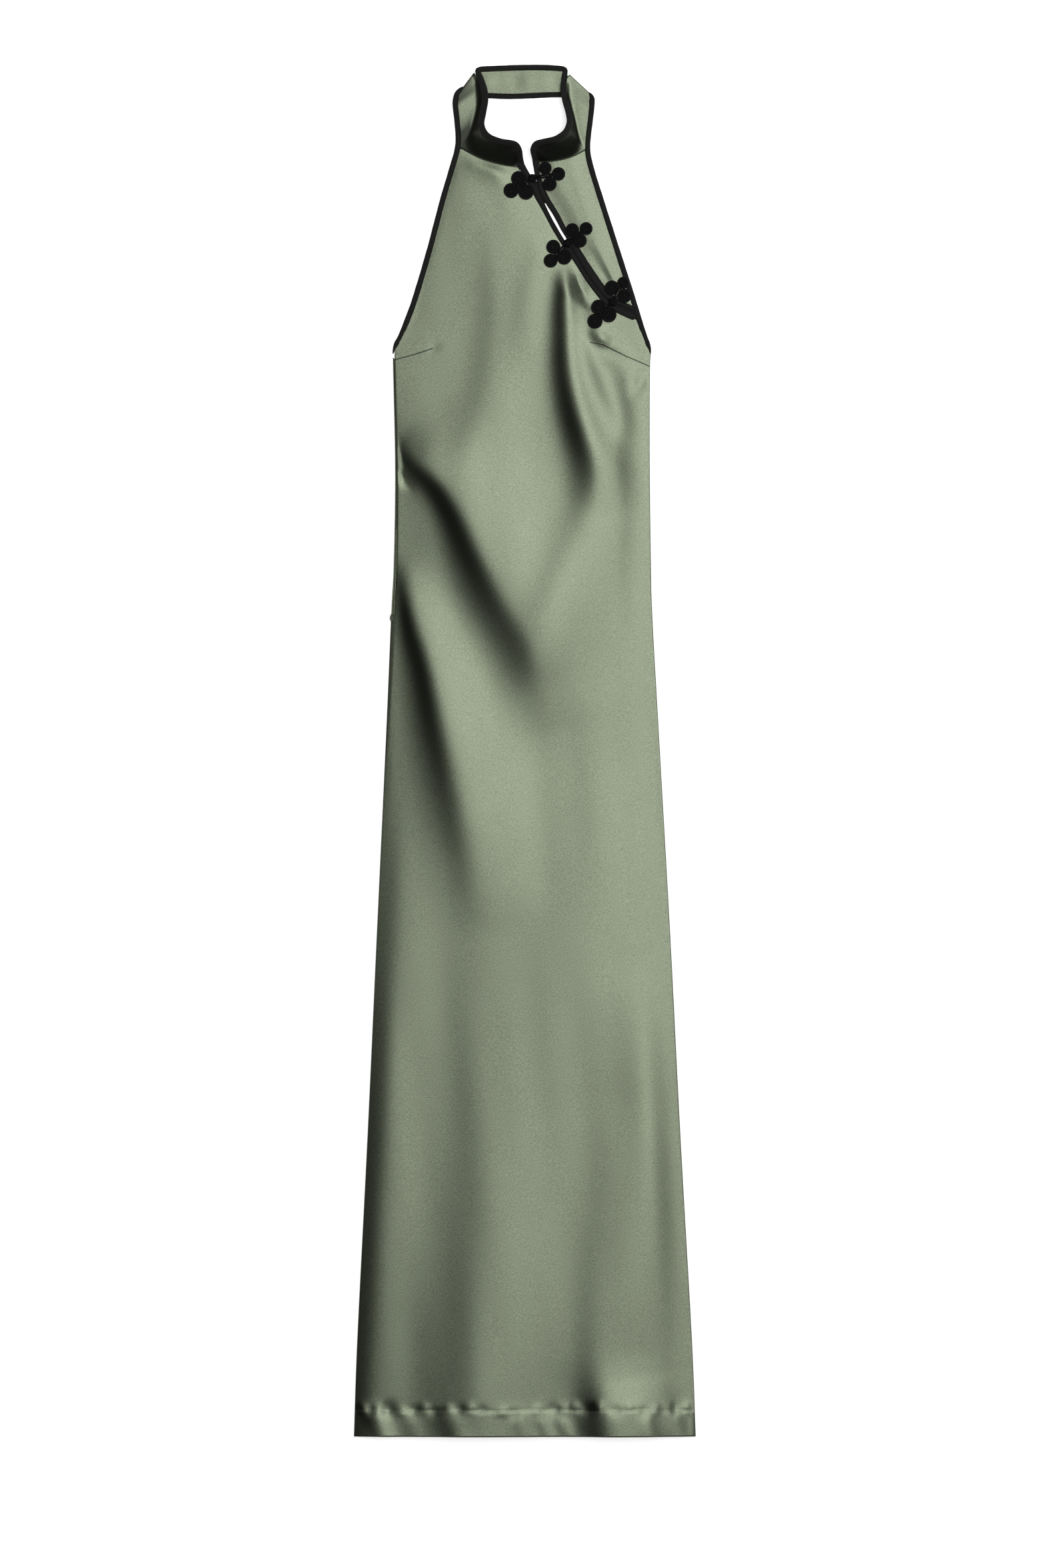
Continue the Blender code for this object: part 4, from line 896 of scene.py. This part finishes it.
def hemHeight(x, y):
    # folds that run through the hem, puckers at its stitches, a groove along them and the doubled
    # cloth below
    total = np.zeros_like(x)
    for topX, topY, hemX, rise, width in hemRipples:
        down = np.clip(1.0 - y / topY, 0.0, 1.0)
        total += rise * smoothstep(down * 1.6) * np.exp(-(((x - topX - (hemX - topX) * down) / width) ** 2))
    for spotX, spotY, rise, across, tall in hemPuckers:
        total += rise * np.exp(-(((x - spotX) / across) ** 2) - ((y - spotY) / tall) ** 2)
    fromSeam = y - hemSeam(x)
    groove = 0.14 + ripple(x, (47, 0.2, 0.08), (17, 1.0, 0.06))
    total += 0.45 * (1 - smoothstep(fromSeam / 2.5 + 0.5)) - groove * np.exp(-((fromSeam / 1.8) ** 2))
    return total * (y < frontPanel["hemTop"])


def sideEdges(height):
    rows = smoothCurve([(left, y, right) for y, left, right in garment["sides"]], 400)
    rows = rows[np.argsort(rows[:, 1])]
    return np.interp(height, rows[:, 1], rows[:, 0]), np.interp(height, rows[:, 1], rows[:, 2])


def seamInset(height):
    # how far the front's left edge lies inside the outline
    rows = np.array(garment["seamInset"])
    return np.interp(height, rows[:, 0], rows[:, 1])


def sheetShares(count):
    # shares of a row's width, closer together at its ends: 0.7 s + 0.3 (1 - cos pi s) / 2
    even = np.linspace(0.0, 1.0, count)
    return 0.7 * even + 0.3 * (0.5 - 0.5 * np.cos(math.pi * even))


def frontLayer(y):
    # height of the front's underside, which comes down above the back's neckline
    low, high = garment["bodiceLayer"], garment["layer"]
    return low + (high - low) * (1.0 - smoothstep((y - garment["sidePoint"]) / 40.0))


def frontPlan():
    # rows between the left and right edges; the highest rows bend to the neck seam
    settings = frontPanel
    heights = np.concatenate([np.arange(low, high, step) for low, high, step in settings["rowSteps"]])
    heights = np.append(heights, garment["sidePoint"])
    left, right = sideEdges(heights)
    lowerLeft = np.column_stack([left + seamInset(heights), heights])
    lowerRight = np.column_stack([right, heights])
    neckLeft = garment["neckSeams"]["left"]
    corner = np.array(garment["openingCorner"])
    edges = {
        "armhole_binding_left": (garment["sidePoint"] + 5, neckLeft[-1][1]),
        "armhole_binding_right": (garment["sidePoint"] + 5, corner[1] - 1),
        "opening_binding_front": (corner[1] + 6, neckLeft[0][1]),
    }
    upperLeft, side, opening = (
        betweenHeights(bindingEdge(node, -settings["tuck"])[:, :2], *ends) for node, ends in edges.items()
    )
    side = spaced(np.vstack([lowerRight[-1:], side]), settings["cornerRows"] + 1)[1:]
    opening = np.vstack([side[-1:], corner[None] + [3.0, 1.5], opening])
    opening = spaced(opening, settings["openingRows"] + 1)[1:]
    rightPart = np.vstack([side, opening])
    leftPart = spaced(np.vstack([lowerLeft[-1:], upperLeft]), len(rightPart) + 1)[1:]
    left, right = np.vstack([lowerLeft, leftPart]), np.vstack([lowerRight, rightPart])
    share = np.concatenate([settings["rimShares"], sheetShares(settings["columns"])[1:-1]])
    share = np.sort(np.concatenate([share, 1.0 - np.array(settings["rimShares"])]))
    plan = gridBetween(left, right, share)
    inner = (4 * share * (1 - share))[None, :, None]
    for _ in range(settings["planPasses"]):
        plan[1:-1] += inner * 0.25 * (plan[:-2] + plan[2:] - 2 * plan[1:-1])
    neck = smoothCurve(neckLeft[::-1], 80) + [0.0, 0.3]
    top = spaced(np.vstack([left[-1:], neck[1:-1], right[-1:]]), share)
    bendTop(plan, top, settings["neckRows"], 1.5)
    return plan, np.linalg.norm(right - left, axis=1)[:, None], share


def makeFrontPanel():
    # top = layer + cloth + softened (folds * edge fade + puff) + creases + hem,
    # rolled down at the side seams
    settings = frontPanel
    plan, rowWidth, share = frontPlan()
    x, y = plan[..., 0], plan[..., 1]
    fromLeft, fromRight = share[None] * rowWidth, (1 - share)[None] * rowWidth
    fromSide = np.minimum(fromLeft, fromRight)
    fromTop = np.linalg.norm(plan - plan[-1:], axis=2)
    leftReach, rightReach = settings["edgeReach"]
    edge = arch(fromLeft / leftReach, 3) * smoothstep(fromRight / rightReach)
    edge = edge * smoothstep(fromTop / settings["foldTop"])
    below = smoothstep((garment["sidePoint"] - y) / settings["puffChange"])
    puff = settings["bodicePuff"] + (settings["puff"] - settings["bodicePuff"]) * below
    filled = arch(fromSide / np.minimum(settings["puffReach"], rowWidth * 0.45), 2)
    filled = filled * smoothstep(fromTop / settings["puffTop"])
    large = softened(foldHeight(x, y, folds), plan, 8)
    large = large + softened(foldHeight(x, y, crispFolds, settings["crispPower"]), plan, 4)
    top = frontLayer(y) + garment["cloth"] + softened(edge * large + puff * filled, plan, 4)
    hem = hemHeight(x, y)
    # Painted shade: these slopes towards shadeToward, taken before the small creases and the roll, set
    # where the satin's colour is darkened.
    slope = slopes(np.dstack([x, y, top + hem]), shadeToward)
    small = softened(foldHeight(x, y, creases), plan, 1)
    small = small + ripple(x + 0.08 * y, (97, 0.3, 0.16), (41, 1.9, 0.07)) * ripple(y, (560, 0.8, 1.0))
    reach = settings["creaseReach"]
    top += small * smoothstep(fromSide / reach) * smoothstep(fromTop / reach)
    top += hem * smoothstep(fromSide / 3.0)
    skirt = 1.0 - smoothstep((y - garment["sidePoint"] + 4.0) / 6.0)
    rollWidth, rollDepth = settings["roll"]
    rolled = np.clip(fromSide / rollWidth, 0.0, 1.0)
    top -= skirt * (1 - np.sqrt(1 - (1 - rolled) ** 2)) * rollDepth
    top = np.maximum(top, settings["lowest"])
    return clothSheet("front_panel_cloth", np.dstack([x, y, top]), satinDarts, garment["wall"], slope)


front = dress(makeFrontPanel(), "front_panel")
print("front panel made")

# Yoke, back and side zip

yokePanel = {
    "columns": 40,
    "rows": 90,
    "neckRows": 24,
    "tuck": 1.2,
    "puff": 0.9,
    "puffReach": 18.0,
    "creaseReach": 8.0,
    "flat": (0.095, 0.152),
    "area": 0.0058,
}
yokeCreases = {
    "underKnot": [
        (60, 1164, 0, 5, 5), (70, 1146, -0.3, 6, 6), (79, 1130, -0.4, 5, 5), (84, 1122, 0, 5, 5),
    ],
    "besideArmhole": [(66, 1206, 0, 8, 8), (76, 1176, 0.25, 9, 9), (86, 1146, 0, 8, 8)],
}


def makeYoke():
    # the small panel under the opening at the viewer's right
    settings = yokePanel
    neckRight = garment["neckSeams"]["right"]
    neck = smoothCurve(neckRight, 60) + [0.0, 0.3]
    tip = garment["yokeTip"]
    edges = {
        "opening_binding_yoke": (tip - 2, neckRight[0][1]),
        "armhole_binding_right": (tip, neckRight[-1][1]),
    }
    left, right = (
        spaced(betweenHeights(bindingEdge(node, -settings["tuck"])[:, :2], *ends), settings["rows"])
        for node, ends in edges.items()
    )
    share = sheetShares(settings["columns"])
    plan = gridBetween(left, right, share)
    top = spaced(np.vstack([left[-1:], neck[1:-1], right[-1:]]), share)
    bendTop(plan, top, settings["neckRows"], 1.0)
    width = np.linalg.norm(right - left, axis=1)[:, None]
    fromSide = np.minimum(share[None] * width, (1 - share)[None] * width)
    fromTop = np.linalg.norm(plan - plan[-1:], axis=2)
    x, y = plan[..., 0], plan[..., 1]
    rise = settings["puff"] * smoothstep(fromSide / settings["puffReach"])
    reach = settings["creaseReach"]
    rise += foldHeight(x, y, yokeCreases) * smoothstep(fromSide / reach) * smoothstep(fromTop / reach)
    top = np.dstack([x, y, frontLayer(y) + garment["cloth"] + rise])
    return clothSheet("yoke_panel_cloth", top, satinPlain, garment["wall"])


backPanel = {
    "columns": 70,
    "rows": 220,
    "corners": [(-126.0, 1052.0), (120.5, 1052.0)],  # where its neckline meets the side seams
    "top": 1.1,
    "wall": 0.8,
    "flat": (0.336, 1.052),
    "area": 0.29,
}


def makeBack():
    # flat on the surface; each column runs up to the neckline's height there
    share = np.linspace(0.0, 1.0, backPanel["columns"])
    left, right = backPanel["corners"]
    line = np.vstack([[left], bindingEdge("back_neck_binding", -1.0)[:, :2], [right]])
    topX = left[0] + (right[0] - left[0]) * share
    topY = np.interp(topX, line[:, 0], line[:, 1])
    y = np.linspace(0.0, 1.0, backPanel["rows"])[:, None] * topY[None]
    left, right = sideEdges(y)
    x = left + (right - left) * share[None]
    groove = 0.15 * np.exp(-(((y - frontPanel["hem"]) / 2.5) ** 2))
    lift = ripple(x, (120, 0.4, 0.04)) + ripple(y, (90, 0.4, 0.04)) - groove
    top = np.dstack([x, y, backPanel["top"] + lift])
    return clothSheet("back_panel_cloth", top, satinPlain, backPanel["wall"])


sideZip = {
    "from": 1046.0,
    "to": 799.0,
    "spacing": 2.5,
    "thickness": 1.9,
    "section": [
        (0.04, 0), (0, 0.3), (0.04, 0.78), (0.18, 0.98), (0.36, 0.92), (0.44, 0.55), (0.52, 0.52),
        (0.6, 0.84), (0.78, 0.92), (0.93, 0.72), (1, 0.4), (0.95, 0.05), (0.5, 0),
    ],
    # the lip's end: how far inside the outline, height and width
    "knob": [
        (0.9, 801.5, 2.2), (0.5, 799.625, 3), (0.2, 797.75, 3.2), (0.5, 795.875, 2.6),
        (0.9, 794, 1.6),
    ],
    "knobLevel": 1.2,
    "knobThickness": 2.0,
}


def makeSideZip():
    # a narrow folded lip beside the front's left edge, with the zip's closing line along it and a knob of
    # folded cloth at its end
    heights = np.arange(sideZip["from"], sideZip["to"], -sideZip["spacing"])
    outline, _ = sideEdges(heights)
    inset = seamInset(heights) - garment["seam"] + 0.25
    level = np.full(len(heights), garment["layer"] - 0.3)
    line = np.column_stack([outline + inset / 2, heights, inset, level, level])
    path, ring, *_ = stripForm(line, 1, sideZip["thickness"], sideZip["section"])
    inset, heights, width = np.array(sideZip["knob"]).T
    outline, _ = sideEdges(heights)
    underside = np.full(len(heights), sideZip["knobLevel"])
    knob = np.column_stack([outline + inset, heights, width, underside, underside])
    end, endRing, *_ = stripForm(knob, 1, sideZip["knobThickness"], sideZip["section"])
    points, faces, uv = roundForm([path, end], [ring, endRing])
    return makePiece("side_zip_lip", points, faces, uv, satinPlain, closed=True)


yoke = dress(makeYoke(), "yoke_panel")
back = dress(makeBack(), "back_panel")
zipLip = dress(makeSideZip(), "side_zip")
print("yoke, back and side zip made")

# Collar

collar = {
    "seamRise": -0.05,
    "foldTop": 4.6,
    "foldUnder": 1.0,
    "turnFrom": 0.84,  # share of the band at which it begins to come down to its fold
    "rollDepth": 0.4,
    "rollColumns": 8,
    "columns": 96,
    "rows": 34,
    "wall": 0.8,
    "rim": 0.5,
}
# Rows run from the front opening (0) to the fold at the side of the neck (1): that share, height of the
# lower edge, bow of the band, how late it climbs to its upper edge, and how much of its slope shows
# as painted shade
wings = {
    "left": {
        "profile": [
            (0, 1.4, 0, 1.2, 0.75), (0.2, 1.4, 0.3, 1.4, 0.75), (0.4, 1.4, 0.5, 1.6, 0.75),
            (0.5, 2, 0.4, 3.2, 0.6), (0.6, 2.9, 0.2, 8, 0.35), (0.72, 3.5, 0.1, 13, 0.25),
            (0.88, 4, 0, 13, 0.2), (1, 4.3, 0, 9, 0.2),
        ],
        "armEnd": 1309.0,
        "topEnd": 1325.0,
        "fold": [(-60.8, 1314.0), (-49.6, 1329.0)],
        "flat": (0.138, 0.034),
        "area": 0.0030,
    },
    "right": {
        "profile": [
            (0, 1.4, 0, 1.2, 0.75), (0.2, 1.4, 0.3, 1.4, 0.75), (0.4, 1.4, 0.5, 1.6, 0.75),
            (0.5, 2, 0.5, 3.2, 0.6), (0.6, 2.9, 0.4, 7, 0.4), (0.72, 3.5, 0.3, 10, 0.3),
            (0.88, 4, 0.2, 10, 0.25), (1, 4.3, 0, 8, 0.2),
        ],
        "armEnd": 1305.5,
        "topEnd": 1323.0,
        "fold": [(62.8, 1309.4), (43.4, 1327.4)],
        "flat": (0.132, 0.034),
        "area": 0.0027,
    },
}


def makeWing(hand):
    # lower edge + (upper edge - lower edge) * up^steep + bow * sin(pi up), then rolled over a squashed half
    # circle at the side of the neck
    settings = wings[hand]
    side = bindings["armhole_binding_" + hand]["clothSide"]
    seam = smoothCurve(garment["neckSeams"][hand], 60) + [0.0, collar["seamRise"]]
    arm = bindingEdge("armhole_binding_" + hand, -0.8)[:, :2]
    arm = betweenHeights(arm, seam[-1, 1], settings["armEnd"])
    fold = np.array(settings["fold"])
    inward = unit(side * np.array([fold[0, 1] - fold[1, 1], fold[1, 0] - fold[0, 0]]))
    radius = (collar["foldTop"] - garment["bodiceLayer"] - garment["cloth"] / 2) / 2
    crest = fold + inward * radius * collar["rollDepth"]
    lower = np.vstack([seam[:-1], arm, crest[:1]])
    upper = bindingEdge("collar_binding_" + hand, -0.6)[::-1]
    upper = betweenHeights(upper, seam[0, 1] + 1.6, settings["topEnd"])
    upper = np.vstack([upper, [*crest[1], upper[-1, 2]]])
    shares = np.linspace(0.0, 1.0, collar["columns"])
    lower, upper = spaced(lower, shares), spaced(upper, shares)
    up = np.linspace(0.0, 1.0, collar["rows"])[:, None]
    plan = lower[None] * (1 - up)[..., None] + upper[None, :, :2] * up[..., None]
    highZ = upper[:, 2] + garment["cloth"] / 2
    profile = smoothCurve(settings["profile"], 300)
    lowZ, bow, steep, shade = (np.interp(shares, profile[:, 0], column) for column in profile[:, 1:].T)
    z = lowZ + (highZ - lowZ) * up**steep + bow * np.sin(math.pi * up)
    z += collar["rim"] * np.exp(-(((up - 0.93) / 0.05) ** 2))
    turn = smoothstep((shares - collar["turnFrom"]) / (1.0 - collar["turnFrom"]))
    z = z * (1 - turn) + collar["foldTop"] * turn
    angle = np.linspace(0.0, math.pi, collar["rollColumns"] + 1)[1:]
    last = plan[:, -1:]
    rolled = last - inward * (radius * collar["rollDepth"] * np.sin(angle))[None, :, None]
    rolledZ = np.broadcast_to(collar["foldTop"] - radius * (1 - np.cos(angle)), rolled.shape[:2])
    tuckedIn = last + inward * collar["foldUnder"]
    tuckedZ = np.full((collar["rows"], 1), collar["foldTop"] - 2 * radius)
    parts = [np.dstack([plan, z]), np.dstack([rolled, rolledZ]), np.dstack([tuckedIn, tuckedZ])]
    grid = np.concatenate(parts, axis=1)
    # Painted shade: the band's slopes in any direction, times the profile's last column, darken its colour;
    # the band's last six columns and the rolled fold take the shade of the column before them.
    slope = slopes(parts[0]) * shade
    slope[:, -6:] = slope[:, -7:-6]
    slope = np.hstack([slope, np.repeat(slope[:, -1:], collar["rollColumns"] + 1, axis=1)])
    if side < 0:
        grid, slope = grid[:, ::-1], slope[:, ::-1]
    top = grid + unit(gridNormals(grid)) * collar["wall"] / 2
    return clothSheet(f"collar_{hand}_cloth", top, satinPlain, collar["wall"], slope)


neckband = {
    "columns": 70,
    "rows": 16,
    # where its edges beside each binding start and end
    "reach": {"neckband_binding_bottom": (-55.5, 56.5), "neckband_binding_top": (-43.0, 39.0)},
    "flat": (0.113, 0.026),
    "area": 0.0024,
}


def makeNeckband():
    # the part of the band that lies behind, between its two bindings, very slightly bowed
    edges = []
    for node, (start, end) in neckband["reach"].items():
        edge = bindingEdge(node, -0.8)[:, :2]
        edges.append(spaced(edge[(edge[:, 0] > start) & (edge[:, 0] < end)], neckband["columns"]))
    lower, upper = edges
    up = np.linspace(0.0, 1.0, neckband["rows"])[:, None]
    plan = lower[None] * (1 - up)[..., None] + upper[None] * up[..., None]
    x = plan[..., 0]
    rise = 0.5 * np.sin(math.pi * up) + ripple(x, (44, 0.3, 0.16), (19, 1.1, 0.06))
    z = garment["bodiceLayer"] + garment["cloth"] + rise * np.sin(math.pi * up)
    return clothSheet("neckband_cloth", np.dstack([plan, z]), satinPlain, garment["wall"])


wingLeft = dress(makeWing("left"), "collar_left")
wingRight = dress(makeWing("right"), "collar_right")
bandBehind = dress(makeNeckband(), "neckband")
print("collar made")

# Frog fastenings

frogs = {
    "cordRadius": 0.9,
    "pitch": 1.58,  # between the turns of a coil
    "stepsPerTurn": 26,
    "sides": 8,
    "stemSpread": 0.85,
    "dome": 0.35,
    "stemFrom": 1.6,  # how far from the button's middle the stem starts
    "buttonRadius": 3.2,
    "buttonCore": 0.86,  # share of that radius
    "buttonCord": 0.86,
    "buttonSquash": 0.8,
    "knotLatitude": 52.0,
    # x, y and radius of each coil; the last is the far one, which the doubled stem runs to
    "coils": {
        "frog_1_left": [(-6.1, 1226.2, 7.1), (1.1, 1213.2, 7.5), (-13.4, 1214.4, 7.2)],
        "frog_1_right": [(19.8, 1236.1, 6.2), (24.1, 1220.7, 6.8), (32.8, 1230.5, 6.4)],
        "frog_2_left": [(27.9, 1159.5, 6.8), (38.4, 1149.7, 7.2), (25.1, 1146.0, 6.6)],
        "frog_2_right": [(46.3, 1175.9, 6.5), (53.4, 1165.6, 6.8), (59.7, 1177.2, 6.2)],
        "frog_3_left": [(72.0, 1100.9, 7.1), (81.9, 1093.6, 7.4), (68.4, 1087.0, 7.2)],
        "frog_3_right": [(85.0, 1119.5, 7.1), (97.0, 1111.8, 6.8), (96.0, 1124.5, 5.8)],
    },
    "buttons": {
        "frog_1_button": (7.3, 1226.4),
        "frog_2_button": (41.8, 1163.2),
        "frog_3_button": (85.9, 1105.8),
    },
}


def meshPoints(piece):
    # corners of a piece or node, in millimetres on the garment
    flat = np.empty(len(piece.data.vertices) * 3)
    piece.data.vertices.foreach_get("co", flat)
    return flat.reshape(-1, 3) / mm + [0.0, middleHeight, 0.0]


def restingPlane(node):
    # least-squares slope of a node, lowered to its underside: z = a + b x + c y
    points = meshPoints(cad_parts[node])
    basis = np.column_stack([np.ones(len(points)), points[:, :2]])
    plane = np.linalg.lstsq(basis, points[:, 2], rcond=None)[0]
    plane[0] += (points[:, 2] - basis @ plane).min()
    return plane


def coilPath(x, y, radius, toward, turnWay):
    # r grows by the pitch each turn up to the coil's edge, and ends beside the point that the cord runs to
    inner = 0.5 * frogs["pitch"]
    outer = radius - frogs["cordRadius"] + 0.15
    turns = (outer - inner) / frogs["pitch"] + 0.9
    steps = int(turns * frogs["stepsPerTurn"])
    t = np.linspace(0.0, turns, steps)
    heading = math.atan2(toward[1] - y, toward[0] - x)
    angle = heading - turnWay * 2 * math.pi * (turns - t)
    r = np.minimum(inner + frogs["pitch"] * t, outer)
    lift = frogs["dome"] * (1 - (r / outer) ** 2) + frogs["cordRadius"]
    return np.column_stack([x + r * np.cos(angle), y + r * np.sin(angle), lift])


def makeFrogHalf(node, button):
    # three coils on their pads, and a doubled cord between them from the button to the far coil
    plane = restingPlane(node)
    coils = frogs["coils"][node]
    button = np.array(button)
    paths = [coilPath(*coil, button, 1 if index % 2 else -1) for index, coil in enumerate(coils)]
    far = np.array(coils[2][:2])
    reach = np.linalg.norm(far - button)
    way = (far - button) / reach
    out = np.array([-way[1], way[0]])
    share = np.linspace(0.0, 1.0, 30)
    for side in (-1, 1):
        spread = frogs["stemSpread"] * side * (1 + 0.35 * np.sin(math.pi * share))
        along = frogs["stemFrom"] + (reach - 5.0) * share
        ends = button[None] + way[None] * along[:, None] + out[None] * spread[:, None]
        height = 2.1 + 0.5 * np.sin(math.pi * share) - 1.1 * smoothstep((share - 0.75) / 0.25)
        paths.append(np.column_stack([ends, height]))
    up = unit(np.array([-plane[1], -plane[2], 1.0]))
    rings = []
    for index, path in enumerate(paths):
        path[:, 2] += plane[0] + path[:, :2] @ plane[1:] + 0.05
        fromStart = np.arange(len(path))
        taper = 1 - 0.5 * smoothstep(1 - fromStart / 5) - 0.5 * smoothstep(1 - fromStart[::-1] / 5)
        rings.append(cordRing(path, up[None], frogs["cordRadius"] * taper, frogs["sides"]))
    t = np.linspace(0.0, 2 * math.pi, 20, endpoint=False)
    for x, y, radius in coils:
        level = np.array([0.15, 0.15, 0.85, 0.85]) + plane[0] + x * plane[1] + y * plane[2]
        spine = np.column_stack([np.full(4, x), np.full(4, y), level])
        wide = np.array([0.2, 1.0, 1.0, 0.2])[:, None] * (radius - 0.9)
        disc = np.stack([x + wide * np.cos(t), y + wide * np.sin(t), level[:, None] + 0 * t], -1)
        disc[..., 2] += (disc[..., 0] - x) * plane[1] + (disc[..., 1] - y) * plane[2]
        paths.append(spine)
        rings.append(disc)
    points, faces, uv = roundForm(paths, rings)
    return makePiece(node + "_cord", points, faces, uv, blackCord, closed=True)


def makeButton(node, x, y):
    # a Turk's head knot on a ball: its latitude is knotLatitude * cos(4 t / 3) at longitude t,
    # in three turns
    points = meshPoints(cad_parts[node])
    centre = np.array([x, y, (points[:, 2].min() + points[:, 2].max()) / 2 + 0.1])
    t = np.linspace(0.0, 6 * math.pi, 220)
    latitude = math.radians(frogs["knotLatitude"]) * np.cos(4 * t / 3)
    radius = frogs["buttonRadius"] * (1 + 0.12 * np.sin(8 * t / 3))
    squash = frogs["buttonSquash"]
    out = np.cos(latitude)
    turned = np.column_stack([out * np.cos(t), out * np.sin(t), np.sin(latitude) * squash])
    path = centre + turned * radius[:, None]
    knot = cordRing(path, turned, frogs["buttonCord"], frogs["sides"])
    v = np.linspace(0.02, math.pi - 0.02, 10)[:, None]
    u = np.linspace(0.0, 2 * math.pi, 16, endpoint=False)
    core = frogs["buttonRadius"] * frogs["buttonCore"]
    shape = np.broadcast_arrays(np.sin(v) * np.cos(u), np.sin(v) * np.sin(u), squash * np.cos(v))
    ball = centre + core * np.stack(shape, -1)
    spine = centre + np.column_stack([0 * v, 0 * v, squash * core * np.cos(v)])
    points, faces, uv = roundForm([path, spine], [knot, ball])
    return makePiece(node + "_knot", points, faces, uv, blackCord, closed=True)


for number in (1, 2, 3):
    button = frogs["buttons"][f"frog_{number}_button"]
    for half in ("left", "right"):
        node = f"frog_{number}_{half}"
        dress(makeFrogHalf(node, button), node)
    node = f"frog_{number}_button"
    dress(makeButton(node, *button), node)
print("frog fastenings made")

# Stitches

sewing = {
    "hemSpacing": 3.0,
    "hemLength": 1.6,
    "hemRadius": 0.13,
    "bindings": {
        "bodice_stitches": ["armhole_binding_left", "opening_binding_front"],
        "yoke_stitches": ["armhole_binding_right", "opening_binding_yoke"],
        "collar_stitches": [
            "collar_binding_left",
            "collar_binding_right",
            "neckband_binding_top",
            "neckband_binding_bottom",
        ],
    },
}


def surfaceHeights(piece, points):
    # height of a piece's grid at each place in plan, weighed over its four nearest points
    grid = meshPoints(piece)
    grid = grid[(grid[:, 1] > points[:, 1].min() - 6) & (grid[:, 1] < points[:, 1].max() + 6)]
    away = (grid[None, :, 0] - points[:, None, 0]) ** 2 + (grid[None, :, 1] - points[:, None, 1]) ** 2
    near = np.argsort(away, axis=1)[:, :4]
    weight = 1.0 / (np.take_along_axis(away, near, axis=1) + 0.05)
    return (grid[near, 2] * weight).sum(axis=1) / weight.sum(axis=1)


hemX = np.arange(-162.0, 162.5, sewing["hemSpacing"])
hemLine = np.column_stack([hemX, hemSeam(hemX)])
hemLine = np.column_stack([hemLine, surfaceHeights(front, hemLine) + 0.02])
upward = np.tile([0.0, 0.0, 1.0], (len(hemLine), 1))
hemWay = np.gradient(hemLine, axis=0)
hemForm = stitchForm(hemLine, hemWay, upward, sewing["hemLength"], sewing["hemRadius"])
hemStitches = makeStitches("hem_stitches", [hemForm], greenThread)
bodiceStitches, yokeStitches, collarStitches = (
    makeStitches(name, [stitchForms[node] for node in nodes], blackThread)
    for name, nodes in sewing["bindings"].items()
)
print("stitches made")

# Floor, light and camera

studio = {
    "floorSize": 24.0,
    "floorShade": (0.96, 0.96, 0.96, 1.0),
    "floorLight": (0.97, 0.97, 0.97, 1.0),
    "floorGlow": 0.65,
    "boxWidth": 2.5,
    "boxLength": 4.2,
    "boxHeight": 4.8,
    "boxAt": (0.98, 1.16),
    "boxPower": 120.0,
    "sky": 0.115,
    "lens": 200.0,
    "frameHeight": 1.5288,  # metres that the picture shows from its bottom to its top
    "centre": (-0.0023, -0.0327),
}


def makeFloor():
    glow = {"Emission_Color": (1.0, 1.0, 1.0, 1.0), "Emission_Strength": studio["floorGlow"]}
    finish = Finish("pale_floor", Roughness=0.9, **glow)
    spot = finish.place()
    tint = finish.noise(spot, 3.0, 2.0, 0.5)
    finish.link(Base_Color=finish.mix(tint, studio["floorShade"], studio["floorLight"]))
    half = studio["floorSize"] / 2 / mm
    corners = np.array([(-half, -half, 0.0), (half, -half, 0.0), (half, half, 0.0), (-half, half, 0.0)])
    corners += [0.0, middleHeight, 0.0]
    return makePiece("floor", corners, [[0, 1, 2, 3]], np.zeros((4, 2)), finish.material)


makeFloor()

box = bpy.data.lights.new("softbox", "AREA")
box.shape = "RECTANGLE"
box.size, box.size_y = studio["boxWidth"], studio["boxLength"]
box.energy = studio["boxPower"]
boxPlace = bpy.data.objects.new("softbox", box)
boxPlace.location = (*studio["boxAt"], studio["boxHeight"])
boxPlace.visible_camera = False
bpy.context.scene.collection.objects.link(boxPlace)

sky = bpy.data.worlds.new("studio_sky")
sky.use_nodes = True
sky.node_tree.nodes["Background"].inputs["Color"].default_value = (studio["sky"],) * 3 + (1.0,)
bpy.context.scene.world = sky
bpy.context.scene.view_settings.view_transform = "Standard"

lens = bpy.data.cameras.new("camera")
lens.sensor_fit = "VERTICAL"
lens.sensor_height = 36.0
lens.lens = studio["lens"]
lens.clip_end = 100.0
camera = bpy.data.objects.new("camera", lens)
camera.location = (*studio["centre"], studio["frameHeight"] * studio["lens"] / lens.sensor_height)
bpy.context.scene.collection.objects.link(camera)
bpy.context.scene.camera = camera
print("floor, light and camera made")
